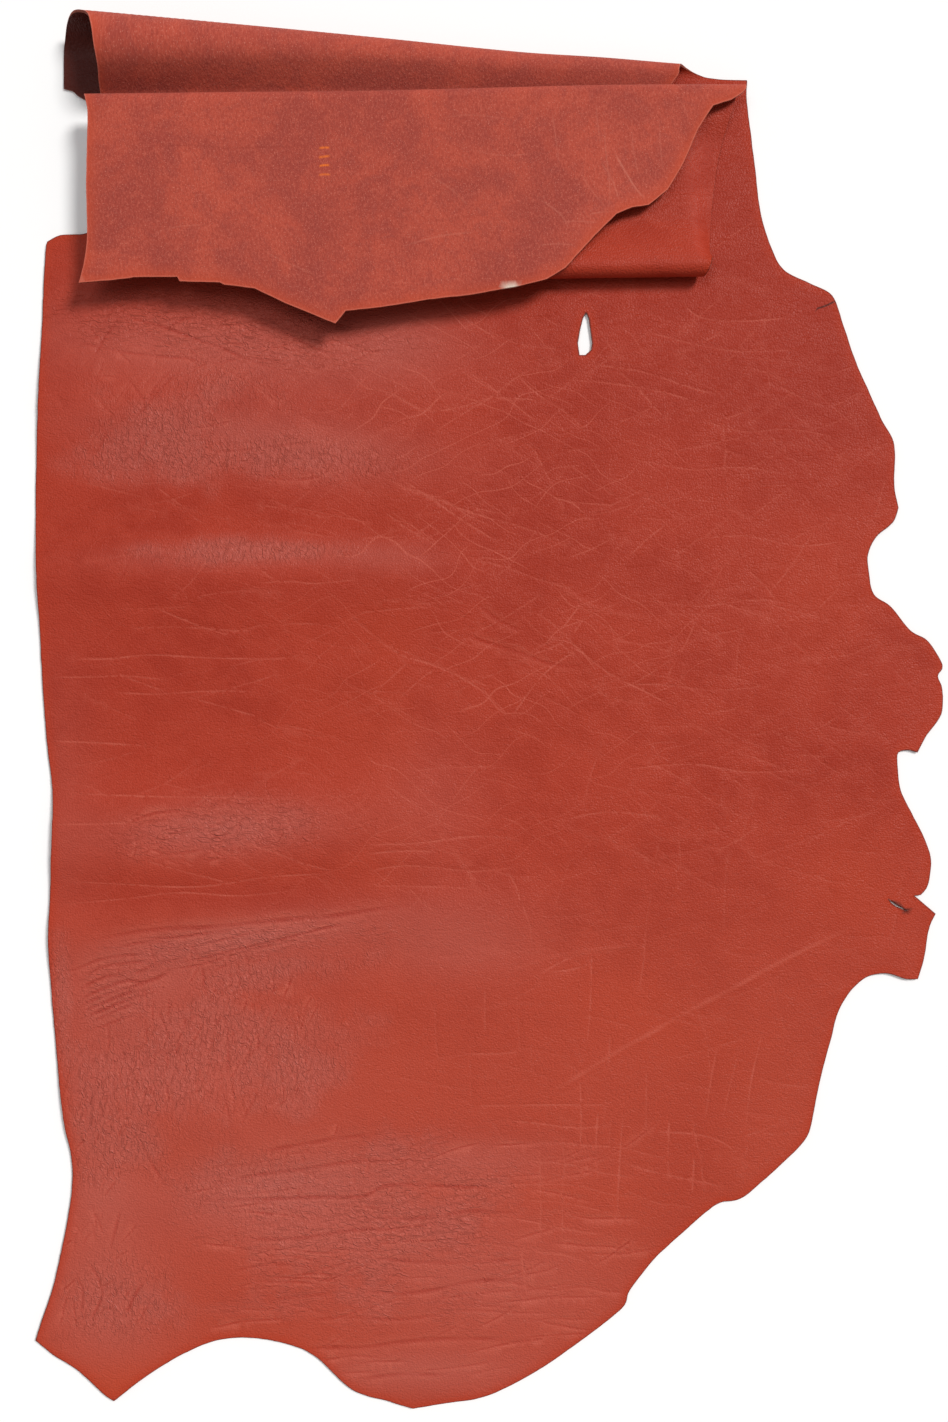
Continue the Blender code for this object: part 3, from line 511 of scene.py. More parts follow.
def sizes_at(x):
    xs = [row[0] for row in SECTIONS]
    x = min(max(x, xs[0]), xs[-1])
    k = 0
    while k < len(xs) - 2 and x > xs[k + 1]:
        k += 1
    h = xs[k + 1] - xs[k]
    t = (x - xs[k]) / h
    out = {}
    for c, name in enumerate(SECTION_COLUMNS[1:], start=1):
        p1, p2 = SECTIONS[k][c], SECTIONS[k + 1][c]
        m1 = (p2 - SECTIONS[k - 1][c]) / (xs[k + 1] - xs[k - 1]) * h \
            if k > 0 else p2 - p1
        m2 = (SECTIONS[k + 2][c] - p1) / (xs[k + 2] - xs[k]) * h \
            if k < len(xs) - 2 else p2 - p1
        a, b = t * t, t * t * t
        out[name] = ((2 * b - 3 * a + 1) * p1 + (b - 2 * a + t) * m1
                     + (3 * a - 2 * b) * p2 + (b - a) * m2)
    return out


def go(y, z, h, length, turn):
    if abs(turn) < 1e-9:
        return y + math.cos(h) * length, z + math.sin(h) * length, h
    r = length / turn
    return (y + r * (math.sin(h + turn) - math.sin(h)),
            z - r * (math.cos(h + turn) - math.cos(h)), h + turn)


def section_pieces(x):
    """Pieces (y, z, heading, length, turn) of the cross-section at x."""
    s = sizes_at(x)
    half = 0.5 * THICKNESS
    b1, g2, b2, g3, g4 = (math.radians(s[k])
                          for k in ("b1", "g2", "b2", "g3", "g4"))
    out = [(0.0, half, 0.0, 1.0, 0.0)]
    y, z, h = s["y1"], half, 0.0

    def piece(y, z, h, length, turn):
        out.append((y, z, h, length, turn))
        return go(y, z, h, length, turn)

    def bent_run(y, z, h, turn, end_h, target):
        bend = go(0.0, 0.0, h, EASE_RADIUS * abs(turn), turn)
        dy, dz = target[0] - y - bend[0], target[1] - z - bend[1]
        c1, s1, c2, s2 = (math.cos(h), math.sin(h),
                          math.cos(end_h), math.sin(end_h))
        det = c1 * s2 - c2 * s1
        first = (dy * s2 - c2 * dz) / det
        last = (c1 * dz - s1 * dy) / det
        y, z, h = piece(y, z, h, first, 0.0)
        y, z, h = piece(y, z, h, EASE_RADIUS * abs(turn), turn)
        return piece(y, z, h, last, 0.0)

    y, z, h = piece(y, z, h, s["r1"] * (math.pi + b1), math.pi + b1)
    y, z, h = bent_run(y, z, h, -(b1 - g2), math.pi + g2,
                       (s["y2"] + math.sin(g2) * s["r2"],
                        s["z2"] + s["r2"] * (1.0 - math.cos(g2))))
    turn = math.pi + g2 + b2
    y, z, h = piece(y, z, h, s["r2"] * turn, -turn)
    y, z, h = bent_run(y, z, h, b2 + g3, g3,
                       (s["y3"] + math.sin(g3) * s["r3"],
                        s["z3"] + s["r3"] * (1.0 - math.cos(g3))))
    turn = math.pi - g3 + g4
    y, z, h = piece(y, z, h, s["r3"] * turn, turn)
    out.append((y, z, h, 1.0, 0.0))
    return out, s["y1"]


STATION_STEP = 2.0
STATIONS = np.arange(-412.0, 240.1, STATION_STEP)
_made = [section_pieces(x) for x in STATIONS]
PIECES = np.array([m[0] for m in _made])          # station, part, 5 numbers
MAIN_END = np.array([m[1] for m in _made])
_mid, _mid_end = section_pieces(-60.0)
PART_START = [0.0, _mid_end]
for _p in range(1, FLAP):
    PART_START.append(PART_START[-1] + _mid[_p][3])
PART_START = np.array(PART_START)


def main_end_at(x):
    return np.interp(x, STATIONS, MAIN_END)


def to_v(part, x, along):
    if part == 0:
        if along <= MAIN_BLEND_Y:
            return along
        end = float(main_end_at(x))
        return MAIN_BLEND_Y + (along - MAIN_BLEND_Y) / (end - MAIN_BLEND_Y) \
            * (PART_START[1] - MAIN_BLEND_Y)
    if part == FLAP:
        return PART_START[-1] + along
    return PART_START[part] + along * (PART_START[part + 1] - PART_START[part])


def flap_v(x, y):
    pieces, end = section_pieces(min(max(x, -412.0), 240.0))
    y0, z0, h, length, turn = pieces[-1]
    return PART_START[-1] + max(0.0, (y0 - y) / -math.cos(h))


def wave_height(x, y):
    total = np.zeros_like(x)
    for x0, y0, x1, y1, half, height in WAVES:
        dx, dy = x1 - x0, y1 - y0
        span = math.hypot(dx, dy)
        t = ((x - x0) * dx + (y - y0) * dy) / span
        d = ((y - y0) * dx - (x - x0) * dy) / span
        on = (np.abs(d) < half) & (t > 0.0) & (t < span)
        fade = smooth(t / WAVE_END_FADE) * smooth((span - t) / WAVE_END_FADE)
        total += np.where(on, height * fade
                          * np.cos(0.5 * math.pi * d / half) ** 2, 0.0)
    return total


# ---- smooth noise ---------------------------------------------------------
_rng = np.random.default_rng(71)
LATTICE = _rng.random((256, 256))


def noise(x, y, size, seed=0, stretch=1.0, angle=0.0):
    """Smooth noise from -1 to 1; size is a cell in mm, stretch lengthens the
    cells along angle (degrees)."""
    a = math.radians(angle)
    u = (x * math.cos(a) + y * math.sin(a)) / (size * stretch) + seed * 17.31
    w = (-x * math.sin(a) + y * math.cos(a)) / size + seed * 9.77
    iu, iw = np.floor(u), np.floor(w)
    fu, fw = u - iu, w - iw
    fu = fu * fu * fu * (fu * (fu * 6 - 15) + 10)
    fw = fw * fw * fw * (fw * (fw * 6 - 15) + 10)
    iu = iu.astype(np.int64) + seed * 31
    iw = iw.astype(np.int64) + seed * 57
    a00 = LATTICE[iu & 255, iw & 255]
    a10 = LATTICE[(iu + 1) & 255, iw & 255]
    a01 = LATTICE[iu & 255, (iw + 1) & 255]
    a11 = LATTICE[(iu + 1) & 255, (iw + 1) & 255]
    return 2.0 * ((a00 * (1 - fu) + a10 * fu) * (1 - fw)
                  + (a01 * (1 - fu) + a11 * fu) * fw) - 1.0


def unevenness(x, y):
    """Soft lifts of the lying sheet, never below the surface it lies on."""
    n = noise(x, y, 95.0, 3, 1.7, 12.0) + 0.55 * noise(x, y, 44.0, 5, 1.5, -20.0)
    return 0.55 * np.clip(n + 0.25, 0.0, None)


def middle(x, v):
    part = np.searchsorted(PART_START[1:], v, side="left")
    along = np.zeros_like(v)
    on_main = part == 0
    end = main_end_at(x)
    along = np.where(
        on_main,
        np.where(v <= MAIN_BLEND_Y, v,
                 MAIN_BLEND_Y + (v - MAIN_BLEND_Y) * (end - MAIN_BLEND_Y)
                 / (PART_START[1] - MAIN_BLEND_Y)), along)
    nxt = PART_START[np.minimum(part + 1, FLAP)]
    span = np.where(part < FLAP, nxt - PART_START[part], 1.0)
    along = np.where(on_main, along, (v - PART_START[part])
                     / np.where(span == 0.0, 1.0, span))
    f = np.clip((x - STATIONS[0]) / STATION_STEP, 0.0, len(STATIONS) - 1.001)
    k = f.astype(np.int64)
    f = f - k
    ys, zs = np.zeros_like(x), np.zeros_like(x)
    for kk, weight in ((k, 1.0 - f), (k + 1, f)):
        p = PIECES[kk, part]
        y0, z0, h, length, turn = (p[:, i] for i in range(5))
        straight = np.abs(turn) < 1e-9
        r = length / np.where(straight, 1.0, turn)
        a = turn * along
        ya = y0 + r * (np.sin(h + a) - np.sin(h))
        za = z0 - r * (np.cos(h + a) - np.cos(h))
        yl = y0 + np.cos(h) * length * along
        zl = z0 + np.sin(h) * length * along
        ys += weight * np.where(on_main, along, np.where(straight, yl, ya))
        zs += weight * np.where(straight, zl, za)
    fade = smooth((470.0 - ys) / 90.0)
    zs = zs + np.where(on_main, wave_height(x, ys) + fade * unevenness(x, ys),
                       0.0)
    # the third layer's right edge hangs past the layer under it and settles
    # on the flat part; it rises again towards the flap fold
    loose = (part >= 6) & (part <= 8)
    from_x = np.interp(ys, [400.0, 450.0, 515.0, 551.0],
                       [186.0, 178.0, 164.0, 162.0])
    to_x = np.interp(ys, [400.0, 450.0, 480.0, 551.0],
                     [197.0, 201.0, 204.0, 216.0])
    sink = smooth((x - from_x) / np.maximum(to_x - from_x, 8.0) * 1.15) \
        * smooth((545.0 - ys) / 30.0) * smooth((ys - 404.0) / 16.0)
    zs = np.where(loose, zs + sink * np.minimum(0.0, 3.75 - zs), zs)
    reach = smooth(along / 120.0)
    zs = zs + np.where(part == FLAP,
                       FLAP_SAG * reach * (np.sin(x / 46.0 + 0.6)
                                           + 0.5 * np.sin(x / 21.0)), 0.0)
    # small unevenness of the layers that lie in the folds
    zs = zs + np.where((part >= 3) & (part != 5) & (part != 9),
                       0.22 * noise(x, v, 34.0, 9), 0.0) * np.where(
        part == FLAP, 1.0, smooth(np.minimum(v - PART_START[2],
                                             PART_START[9] - v) / 30.0))
    return np.stack([x, ys, zs], axis=1)


def surface(x, v):
    e = 0.4
    p = middle(x, v)
    px = middle(x + e, v) - middle(x - e, v)
    pv = middle(x, v + e) - middle(x, v - e)
    n = np.cross(px, pv)
    return p, n / np.linalg.norm(n, axis=1)[:, None]


# ---- outline of the flat strip ---------------------------------------------
def smooth_run(points, step):
    out = [points[0]]
    for i in range(len(points) - 1):
        p1, p2 = points[i], points[i + 1]
        p0 = points[i - 1] if i > 0 else p1
        p3 = points[i + 2] if i + 2 < len(points) else p2
        count = max(1, math.ceil(math.dist(p1, p2) / step))
        for k in range(1, count + 1):
            t = k / count
            out.append((cubic(p0[0], p1[0], p2[0], p3[0], t),
                        cubic(p0[1], p1[1], p2[1], p3[1], t)))
    return out


def straight_run(points, step):
    out = [points[0]]
    for p1, p2 in zip(points, points[1:]):
        count = max(1, math.ceil(math.dist(p1, p2) / step))
        for k in range(1, count + 1):
            out.append((p1[0] + (p2[0] - p1[0]) * k / count,
                        p1[1] + (p2[1] - p1[1]) * k / count))
    return out


def strip_outline(step):
    folded = [(PART_INDEX[part], along, left, right)
              for part, along, left, right in FOLDED_EDGES]
    right = [(r, to_v(p, r, a)) for p, a, l, r in folded]
    left = [(l, to_v(p, l, a)) for p, a, l, r in folded]
    corner = FLAT_RUNS[0][0]
    tip = (FLAP_END[0][0], flap_v(*FLAP_END[0]))
    fine = 0.7 * step
    out = smooth_run([(corner[0], to_v(0, *corner))] + right + [tip],
                     fine)[:-1]
    out += straight_run([(x, flap_v(x, y)) for x, y in FLAP_END], fine)[:-1]
    out += smooth_run([(x, flap_v(x, y)) for x, y in FLAP_LEFT] + left[::-1]
                      + [(FLAT_RUNS[-1][-1][0],
                          to_v(0, *FLAT_RUNS[-1][-1]))], fine)[:-1]
    for run in reversed(FLAT_RUNS):
        pts = [(x, to_v(0, x, y)) for x, y in reversed(run)]
        out += (smooth_run if len(pts) > 3 else straight_run)(pts, step)[:-1]
    return np.array(out)


def ragged(loop, amount, seed):
    """The knife's small wobble along a cut edge."""
    nxt, prv = np.roll(loop, -1, axis=0), np.roll(loop, 1, axis=0)
    way = nxt - prv
    way /= np.linalg.norm(way, axis=1)[:, None] + 1e-9
    side = np.stack([-way[:, 1], way[:, 0]], axis=1)
    run = np.concatenate([[0.0], np.cumsum(np.linalg.norm(
        np.diff(loop, axis=0), axis=1))])
    wobble = 0.6 * noise(run, run * 0.0, 14.0, seed) \
        + 0.5 * noise(run, run * 0.0 + 40.0, 5.0, seed + 1)
    turn = np.abs(np.sum((nxt - loop) * (loop - prv), axis=1)
                  / (np.linalg.norm(nxt - loop, axis=1)
                     * np.linalg.norm(loop - prv, axis=1) + 1e-9))
    keep = np.where(turn > 0.9, 1.0, 0.0)      # corners stay where they are
    return loop + side * (wobble * amount * keep)[:, None]


class Area:
    """Points inside an outline with holes, told row by row."""

    def __init__(self, loops):
        self.a = np.concatenate(loops)
        self.b = np.concatenate([np.roll(l, -1, axis=0) for l in loops])

    def inside(self, x, v):
        hit = np.zeros(len(x), dtype=bool)
        order = np.argsort(v)
        vs = v[order]
        xs = x[order]
        flip = np.zeros(len(x), dtype=np.int64)
        for (ax, av), (bx, bv) in zip(self.a, self.b):
            lo, hi = (av, bv) if av < bv else (bv, av)
            i, j = np.searchsorted(vs, (lo, hi), side="left")
            if i == j:
                continue
            cross = ax + (bx - ax) * (vs[i:j] - av) / (bv - av)
            flip[i:j] += xs[i:j] < cross
        hit[order] = (flip & 1) == 1
        return hit


RIM_STEP = 3.4
OUTER = ragged(strip_outline(RIM_STEP), 0.28, 11)


def closed_run(points, step):
    return straight_run(list(points) + [points[0]], step)[:-1]


HOLE = np.array(closed_run(
    [(l, y) for y, l, r in CUT_HOLE]
    + [(r, y) for y, l, r in reversed(CUT_HOLE)], 2.6))
HOLE = ragged(HOLE, 0.22, 23)
SLIT = np.array(SLIT_HOLE)
LOOPS = [OUTER, HOLE, SLIT]
STRIP = Area(LOOPS)

edge_points = []
for loop in LOOPS:
    nxt = np.roll(loop, -1, axis=0)
    for t in (0.0, 0.34, 0.67):
        edge_points.append(loop + (nxt - loop) * t)
edge_points = np.concatenate(edge_points)
EDGE_TREE = kdtree.KDTree(len(edge_points))
for i, p in enumerate(edge_points):
    EDGE_TREE.insert((p[0], p[1], 0.0), i)
EDGE_TREE.balance()


def edge_distance(x, v):
    find = EDGE_TREE.find
    return np.array([find((a, b, 0.0))[2] for a, b in zip(x, v)])


# ---- crease field of the grain side -----------------------------------------
def walk(points, step):
    """Points along a smooth curve, evenly spaced, with the way at each."""
    run = np.array(smooth_run([(float(a), float(b)) for a, b in points], 1.5))
    seg = np.linalg.norm(np.diff(run, axis=0), axis=1)
    s = np.concatenate([[0.0], np.cumsum(seg)])
    count = max(2, int(s[-1] / step) + 1)
    at = np.linspace(0.0, s[-1], count)
    pts = np.stack([np.interp(at, s, run[:, 0]), np.interp(at, s, run[:, 1])],
                   axis=1)
    way = np.gradient(pts, axis=0)
    way /= np.linalg.norm(way, axis=1)[:, None] + 1e-9
    return pts, way, at / s[-1]


def network(seed, count, box, angles, lengths, light, bend=0.18):
    """Fine healed scratches and neck lines: gently bent short lines."""
    rng = np.random.default_rng(seed)
    out = []
    x0, x1, y0, y1 = box
    for _ in range(count):
        x, y = rng.uniform(x0, x1), rng.uniform(y0, y1)
        a = math.radians(rng.choice(angles) + rng.normal(0.0, 9.0))
        length = rng.uniform(*lengths)
        turn = rng.normal(0.0, bend)
        pts, h, n = [(x, y)], a, 5
        for _k in range(n):
            h += turn / n + rng.normal(0.0, 0.07)
            x += math.cos(h) * length / n
            y += math.sin(h) * length / n
            pts.append((x, y))
        out.append((light * rng.uniform(0.5, 1.15), pts))
    return out


NETWORKS = (
    network(5, 120, (-60, 330, -130, 330), (28, -28, -38, 18), (28, 80), 0.42)
    + network(6, 60, (-380, -60, -120, 240), (0, 3, -14, 24, -30), (30, 95), 0.38)
    + network(8, 50, (-340, 0, 150, 360), (-22, -10, 30, 8), (30, 80), 0.30)
    + network(9, 60, (160, 390, -60, 420), (4, -6, 84, 30, -30), (25, 75), 0.32)
    + network(12, 34, (0, 330, -480, -250), (-6, -12, 88), (30, 80), 0.36)
    + network(14, 40, (-60, 380, -260, -60), (12, -20, 84, 4), (30, 90), 0.34)
    + network(15, 26, (-120, 60, -600, -300), (4, 0, -4, 88), (30, 80), 0.26)
)

# short and long wrinkles between the listed ones
WRINKLES = (
    network(41, 125, (-335, -160, -345, -245), (84, 76, 98, 60), (8, 24), 0.42, 0.25)
    + network(42, 46, (-340, -180, -245, -205), (14, 70, 20, 88), (8, 22), 0.42, 0.25)
    + network(43, 46, (-325, -175, -124, -74), (8, -16, 62, 30), (8, 22), 0.36, 0.3)
    + network(44, 92, (-270, 90, -590, -376), (0, 3, -4, 5), (34, 100), 0.44, 0.12)
    + network(45, 40, (-250, -70, -470, -372), (82, 70, 96), (8, 22), 0.32, 0.25)
    + network(46, 56, (-385, -310, -545, -345), (62, 74, 110, 50), (10, 28), 0.38, 0.25)
    + network(47, 34, (-370, -240, 230, 330), (48, 60, 130, 20), (10, 34), 0.30, 0.25)
    + network(48, 30, (-330, -130, 316, 376), (-16, -10, 24), (16, 50), 0.32, 0.25)
)

# points, way, depth, half width, lightness at each point
STROKES = []


def add_stroke(points, depth, half, light, seed, step=3.2, fade=0.22):
    pts, way, t = walk(points, step)
    ends = smooth(t / fade) * smooth((1.0 - t) / fade)
    uneven = 0.72 + 0.42 * noise(pts[:, 0], pts[:, 1], 17.0, seed % 97)
    k = np.clip(ends * uneven, 0.0, 1.3)
    STROKES.append((pts, way, depth * k, half * (0.75 + 0.35 * k), light * k))


for _i, (depth, half, light, pts) in enumerate(CREASES):
    add_stroke(pts, 1.35 * depth, 0.9 * half, 1.5 * light, 100 + _i)
for _i, (light, pts) in enumerate(LINES):
    add_stroke(pts, 0.20, 1.05, 1.75 * light, 300 + _i, 4.2, 0.14)
for _i, (light, pts) in enumerate(NETWORKS):
    add_stroke(pts, 0.15, 0.95, 1.40 * light, 500 + _i, 4.6, 0.16)
for _i, (light, pts) in enumerate(WRINKLES):
    add_stroke(pts, 1.75 * light, 1.35, 1.5 * light, 900 + _i, 3.4, 0.24)
for _i, (light, half, pts) in enumerate(SCARS):
    add_stroke(pts, -0.35, half, light, 800 + _i, fade=0.12)

# short upright ticks on the two soft crests
_rng = np.random.default_rng(33)
TICK_RUNS = [  # x from, x to, spacing, y of the middle, half length, lean
    (-202.8, -135, 4.9, 151.6, 8.9, 3.6), (-274.3, -208.2, 8.9, 142.7, 6.3, 2.7),
    (-195.7, -131.4, 7.1, 226.6, 5.4, 4.5), (-168.9, -136.8, 8.0, 248.1, 3.6, 2.7),
]
for x0, x1, gap, yc, half, lean in TICK_RUNS:
    x = x0
    while x < x1:
        j = _rng.normal(0.0, 1.6, 4)
        tall = half * _rng.uniform(0.6, 1.2)
        add_stroke([(x - lean + j[0], yc - tall + j[1]), (x + j[2], yc),
                    (x + lean + j[3], yc + tall + j[1])],
                   0.22, 1.1, 0.5, int(x) % 90 + 3, step=2.2)
        x += gap * _rng.uniform(0.7, 1.3)

# zones of natural wrinkles: centre, half sizes, turn of the zone, cell size,
# stretch and direction of the wrinkles, depth
ZONES = [
    (-253.7, -293.1, 134, 67, -6, 5, 1.8, 78, 0.46),
    (-302.9, -315.4, 71, 54, 0, 4.6, 1.9, 50, 0.3),
    (-329.7, -248.4, 54, 43, 10, 4.6, 3.6, 24, 0.26),
    (-213.6, -199.3, 116, 23, 7, 4.4, 2.6, 12, 0.32),
    (-195.7, -221.6, 89, 23, 8, 4.6, 1.8, 76, 0.26),
    (-200.2, -409.2, 80, 40, 4, 5, 1.9, 66, 0.3),
    (-231.4, -92.2, 94, 23, 4, 4.4, 1.7, 20, 0.22),
    (-334.1, -507.4, 54, 54, -14, 5.2, 2.6, 58, 0.32),
    (-115.3, -440.4, 134, 80, 0, 8, 4.2, 3, 0.2),
    (-329.7, -373.5, 63, 50, 0, 5.2, 2, 112, 0.26),
    (-285, 260.6, 89, 50, 20, 6, 2.6, 50, 0.2),
    (-231.4, 349.9, 152, 27, -6, 5.6, 2.6, -18, 0.18),
    (-168.9, 235.6, 80, 21, -4, 4.6, 2, 60, 0.14),
    (-213.6, 151.6, 107, 11, 0, 4.4, 2, 76, 0.16),
    (-383.2, -248.4, 21, 71, 0, 5.2, 2, 80, 0.16),
]


def zone_weight(x, y, zone):
    cx, cy, rx, ry, turn = zone[:5]
    a = math.radians(turn)
    u = ((x - cx) * math.cos(a) + (y - cy) * math.sin(a)) / rx
    w = (-(x - cx) * math.sin(a) + (y - cy) * math.cos(a)) / ry
    warp = 0.28 * noise(x, y, 36.0, 41) + 0.14 * noise(x, y, 13.0, 42)
    return smooth((1.42 - np.hypot(u, w) + 1.25 * warp) / 1.15)


def wrinkle_relief(x, y):
    """Relief of the natural wrinkles (mm, troughs below 0), their weight and
    how far they run up and down rather than across."""
    total, weight, upright, share = np.zeros((4, len(x)))
    for i, zone in enumerate(ZONES):
        near = (np.abs(x - zone[0]) < 1.9 * max(zone[2], zone[3])) \
            & (np.abs(y - zone[1]) < 1.9 * max(zone[2], zone[3]))
        if not near.any():
            continue
        a, b = x[near], y[near]
        w = zone_weight(a, b, zone)
        cell, stretch, angle, depth = zone[5:9]
        wx = a + 1.5 * cell * noise(a, b, 5.0 * cell, 61 + i) \
            + 0.4 * cell * noise(a, b, 1.6 * cell, 63 + i)
        wy = b + 1.5 * cell * noise(a, b, 5.0 * cell, 62 + i) \
            + 0.4 * cell * noise(a, b, 1.6 * cell, 64 + i)
        n1 = np.abs(noise(wx, wy, cell, 70 + i, stretch, angle))
        n2 = np.abs(noise(wx, wy, 2.1 * cell, 90 + i, stretch, angle + 16.0))
        r = 0.62 * np.minimum(n1 * 2.6, 1.0) + 0.38 * np.minimum(n2 * 3.4, 1.0)
        total[near] += 0.58 * w * depth * (r - 1.0)
        steep = abs((angle + 360.0) % 180.0 - 90.0) < 45.0
        upright[near] += w * steep
        share[near] += w
        weight[near] = np.maximum(weight[near], w)
    return total, weight, upright / (share + 0.05)


def fill_strokes(x, v):
    """Depth and lightness of all strokes at the given flat points."""
    depth = np.zeros_like(x)
    light = np.zeros_like(x)
    order = np.argsort(x)
    xs, vs = x[order], v[order]
    d_out, l_out = depth[order], light[order]
    for pts, way, dep, half, lit in STROKES:
        deep = dep.max() > 0.24
        reach = float(half.max()) * 1.6
        i, j = np.searchsorted(xs, (pts[:, 0].min() - reach,
                                    pts[:, 0].max() + reach))
        if i == j:
            continue
        sub = np.nonzero((vs[i:j] > pts[:, 1].min() - reach)
                         & (vs[i:j] < pts[:, 1].max() + reach))[0] + i
        if not len(sub):
            continue
        a, b = xs[sub], vs[sub]
        p0, p1 = pts[:-1], pts[1:]
        seg = p1 - p0
        ll = np.sum(seg * seg, axis=1) + 1e-9
        best = np.full(len(sub), 1e9)
        where = np.zeros(len(sub))
        for k in range(len(p0)):
            t = np.clip(((a - p0[k, 0]) * seg[k, 0]
                         + (b - p0[k, 1]) * seg[k, 1]) / ll[k], 0.0, 1.0)
            d = np.hypot(a - p0[k, 0] - seg[k, 0] * t,
                         b - p0[k, 1] - seg[k, 1] * t)
            closer = d < best
            best = np.where(closer, d, best)
            where = np.where(closer, k + t, where)
        idx = np.arange(len(pts))
        h = np.interp(where, idx, half)
        w = np.clip(1.0 - best / h, 0.0, 1.0)
        w = w * w * (3.0 - 2.0 * w)
        d_new = -np.interp(where, idx, dep) * w
        deeper = np.abs(d_new) > np.abs(d_out[sub])
        d_out[sub] = np.where(deeper, d_new, d_out[sub])
        # beside deep creases the lightness goes to the two shoulders: paler stretched
        # leather together with a painted highlight on the raised ridges
        if deep:
            w = np.clip(1.0 - np.abs(best / h - 1.0) / 0.5, 0.0, 1.0)
        l_out[sub] = np.maximum(l_out[sub], np.interp(where, idx, lit) * w)
    depth[order], light[order] = d_out, l_out
    return depth, light


FLAP_HEIGHT = 31.0


def on_flap(points):
    """Marks are tabled as they look from the camera; here on the flat hide."""
    cx, cy = CAMERA_AT[0] / MM, CAMERA_AT[1] / MM
    k = 1.0 - FLAP_HEIGHT * MM / CAMERA_AT[2]
    out = []
    for x, y in points:
        x, y = cx + (x - cx) * k, cy + (y - cy) * k
        out.append((x, flap_v(x, y)))
    return out


def marks(table, step=1.6):
    out = []
    for _i, (light, half, pts) in enumerate(table):
        p, way, t = walk(on_flap(pts), step)
        ends = smooth(t / 0.18) * smooth((1.0 - t) / 0.18)
        k = ends * (0.8 + 0.35 * noise(p[:, 0], p[:, 1], 9.0, 5 + _i))
        out.append((p, way, light * k, np.full(len(p), half)))
    return out


def mark_points(strokes):
    out = []
    for p, way, light, half in strokes:
        side = np.stack([-way[:, 1], way[:, 0]], axis=1) * half[:, None]
        out += [p, p + side, p - side]
    return thin_out(np.concatenate(out), 0.6)


def mark_values(strokes, x, v):
    value = np.zeros_like(x)
    for p, way, light, half in strokes:
        reach = half.max() + 0.1
        near = np.nonzero((x > p[:, 0].min() - reach)
                          & (x < p[:, 0].max() + reach)
                          & (v > p[:, 1].min() - reach)
                          & (v < p[:, 1].max() + reach))[0]
        if not len(near):
            continue
        d = np.hypot(x[near, None] - p[None, :, 0], v[near, None] - p[None, :, 1])
        k = d.argmin(axis=1)
        w = np.clip(1.0 - d[np.arange(len(near)), k] / half[k], 0.0, 1.0)
        new = light[k] * np.minimum(1.0, 1.6 * w)
        value[near] = np.where(np.abs(new) > np.abs(value[near]), new,
                               value[near])
    return value


FLAP_STROKES, CRAYON_STROKES = marks(FLAP_MARKS), marks(CRAYON, 0.9)

# ---- points and triangles -----------------------------------------------------
def hex_rows(x0, x1, v0, v1, gap, row_gap=None):
    row_gap = row_gap or gap * 0.87
    rows = max(1, int(round((v1 - v0) / row_gap)))
    out = []
    for k in range(rows + 1):
        v = v0 + (v1 - v0) * k / rows
        xs = np.arange(x0 + (0.5 * gap if k % 2 else 0.0), x1, gap)
        out.append(np.stack([xs, np.full(len(xs), v)], axis=1))
    return np.concatenate(out)


def thin_out(points, near, cell=None):
    """Drops points closer than near to one kept before."""
    cell = near
    kept = {}
    keep = np.zeros(len(points), dtype=bool)
    near2 = near * near
    for i, (x, v) in enumerate(points):
        a, b = int(x // cell), int(v // cell)
        ok = True
        for da in (-1, 0, 1):
            for db in (-1, 0, 1):
                for (px, pv) in kept.get((a + da, b + db), ()):
                    if (px - x) ** 2 + (pv - v) ** 2 < near2:
                        ok = False
                        break
                if not ok:
                    break
            if not ok:
                break
        if ok:
            keep[i] = True
            kept.setdefault((a, b), []).append((x, v))
    return points[keep]


def folded_points(gap):
    """Rows over the folds, close together where the sheet turns."""
    out = []
    for part in range(1, FLAP):
        v0, v1 = PART_START[part], PART_START[part + 1]
        row = {1: 2.0, 3: 2.4, 5: 1.9, 7: 2.6, 9: 1.8}.get(part, gap)
        rows = max(2, int(round((v1 - v0) / row)))
        rows = hex_rows(-405.0, 240.0, v0, v0 + (v1 - v0) * (rows - 1) / rows,
                        gap, (v1 - v0) / rows)
        out.append(rows)
    out.append(hex_rows(-405.0, 240.0, PART_START[FLAP],
                        PART_START[FLAP] + 220.0, gap))
    return np.concatenate(out)


FINE_GRID = 2.9


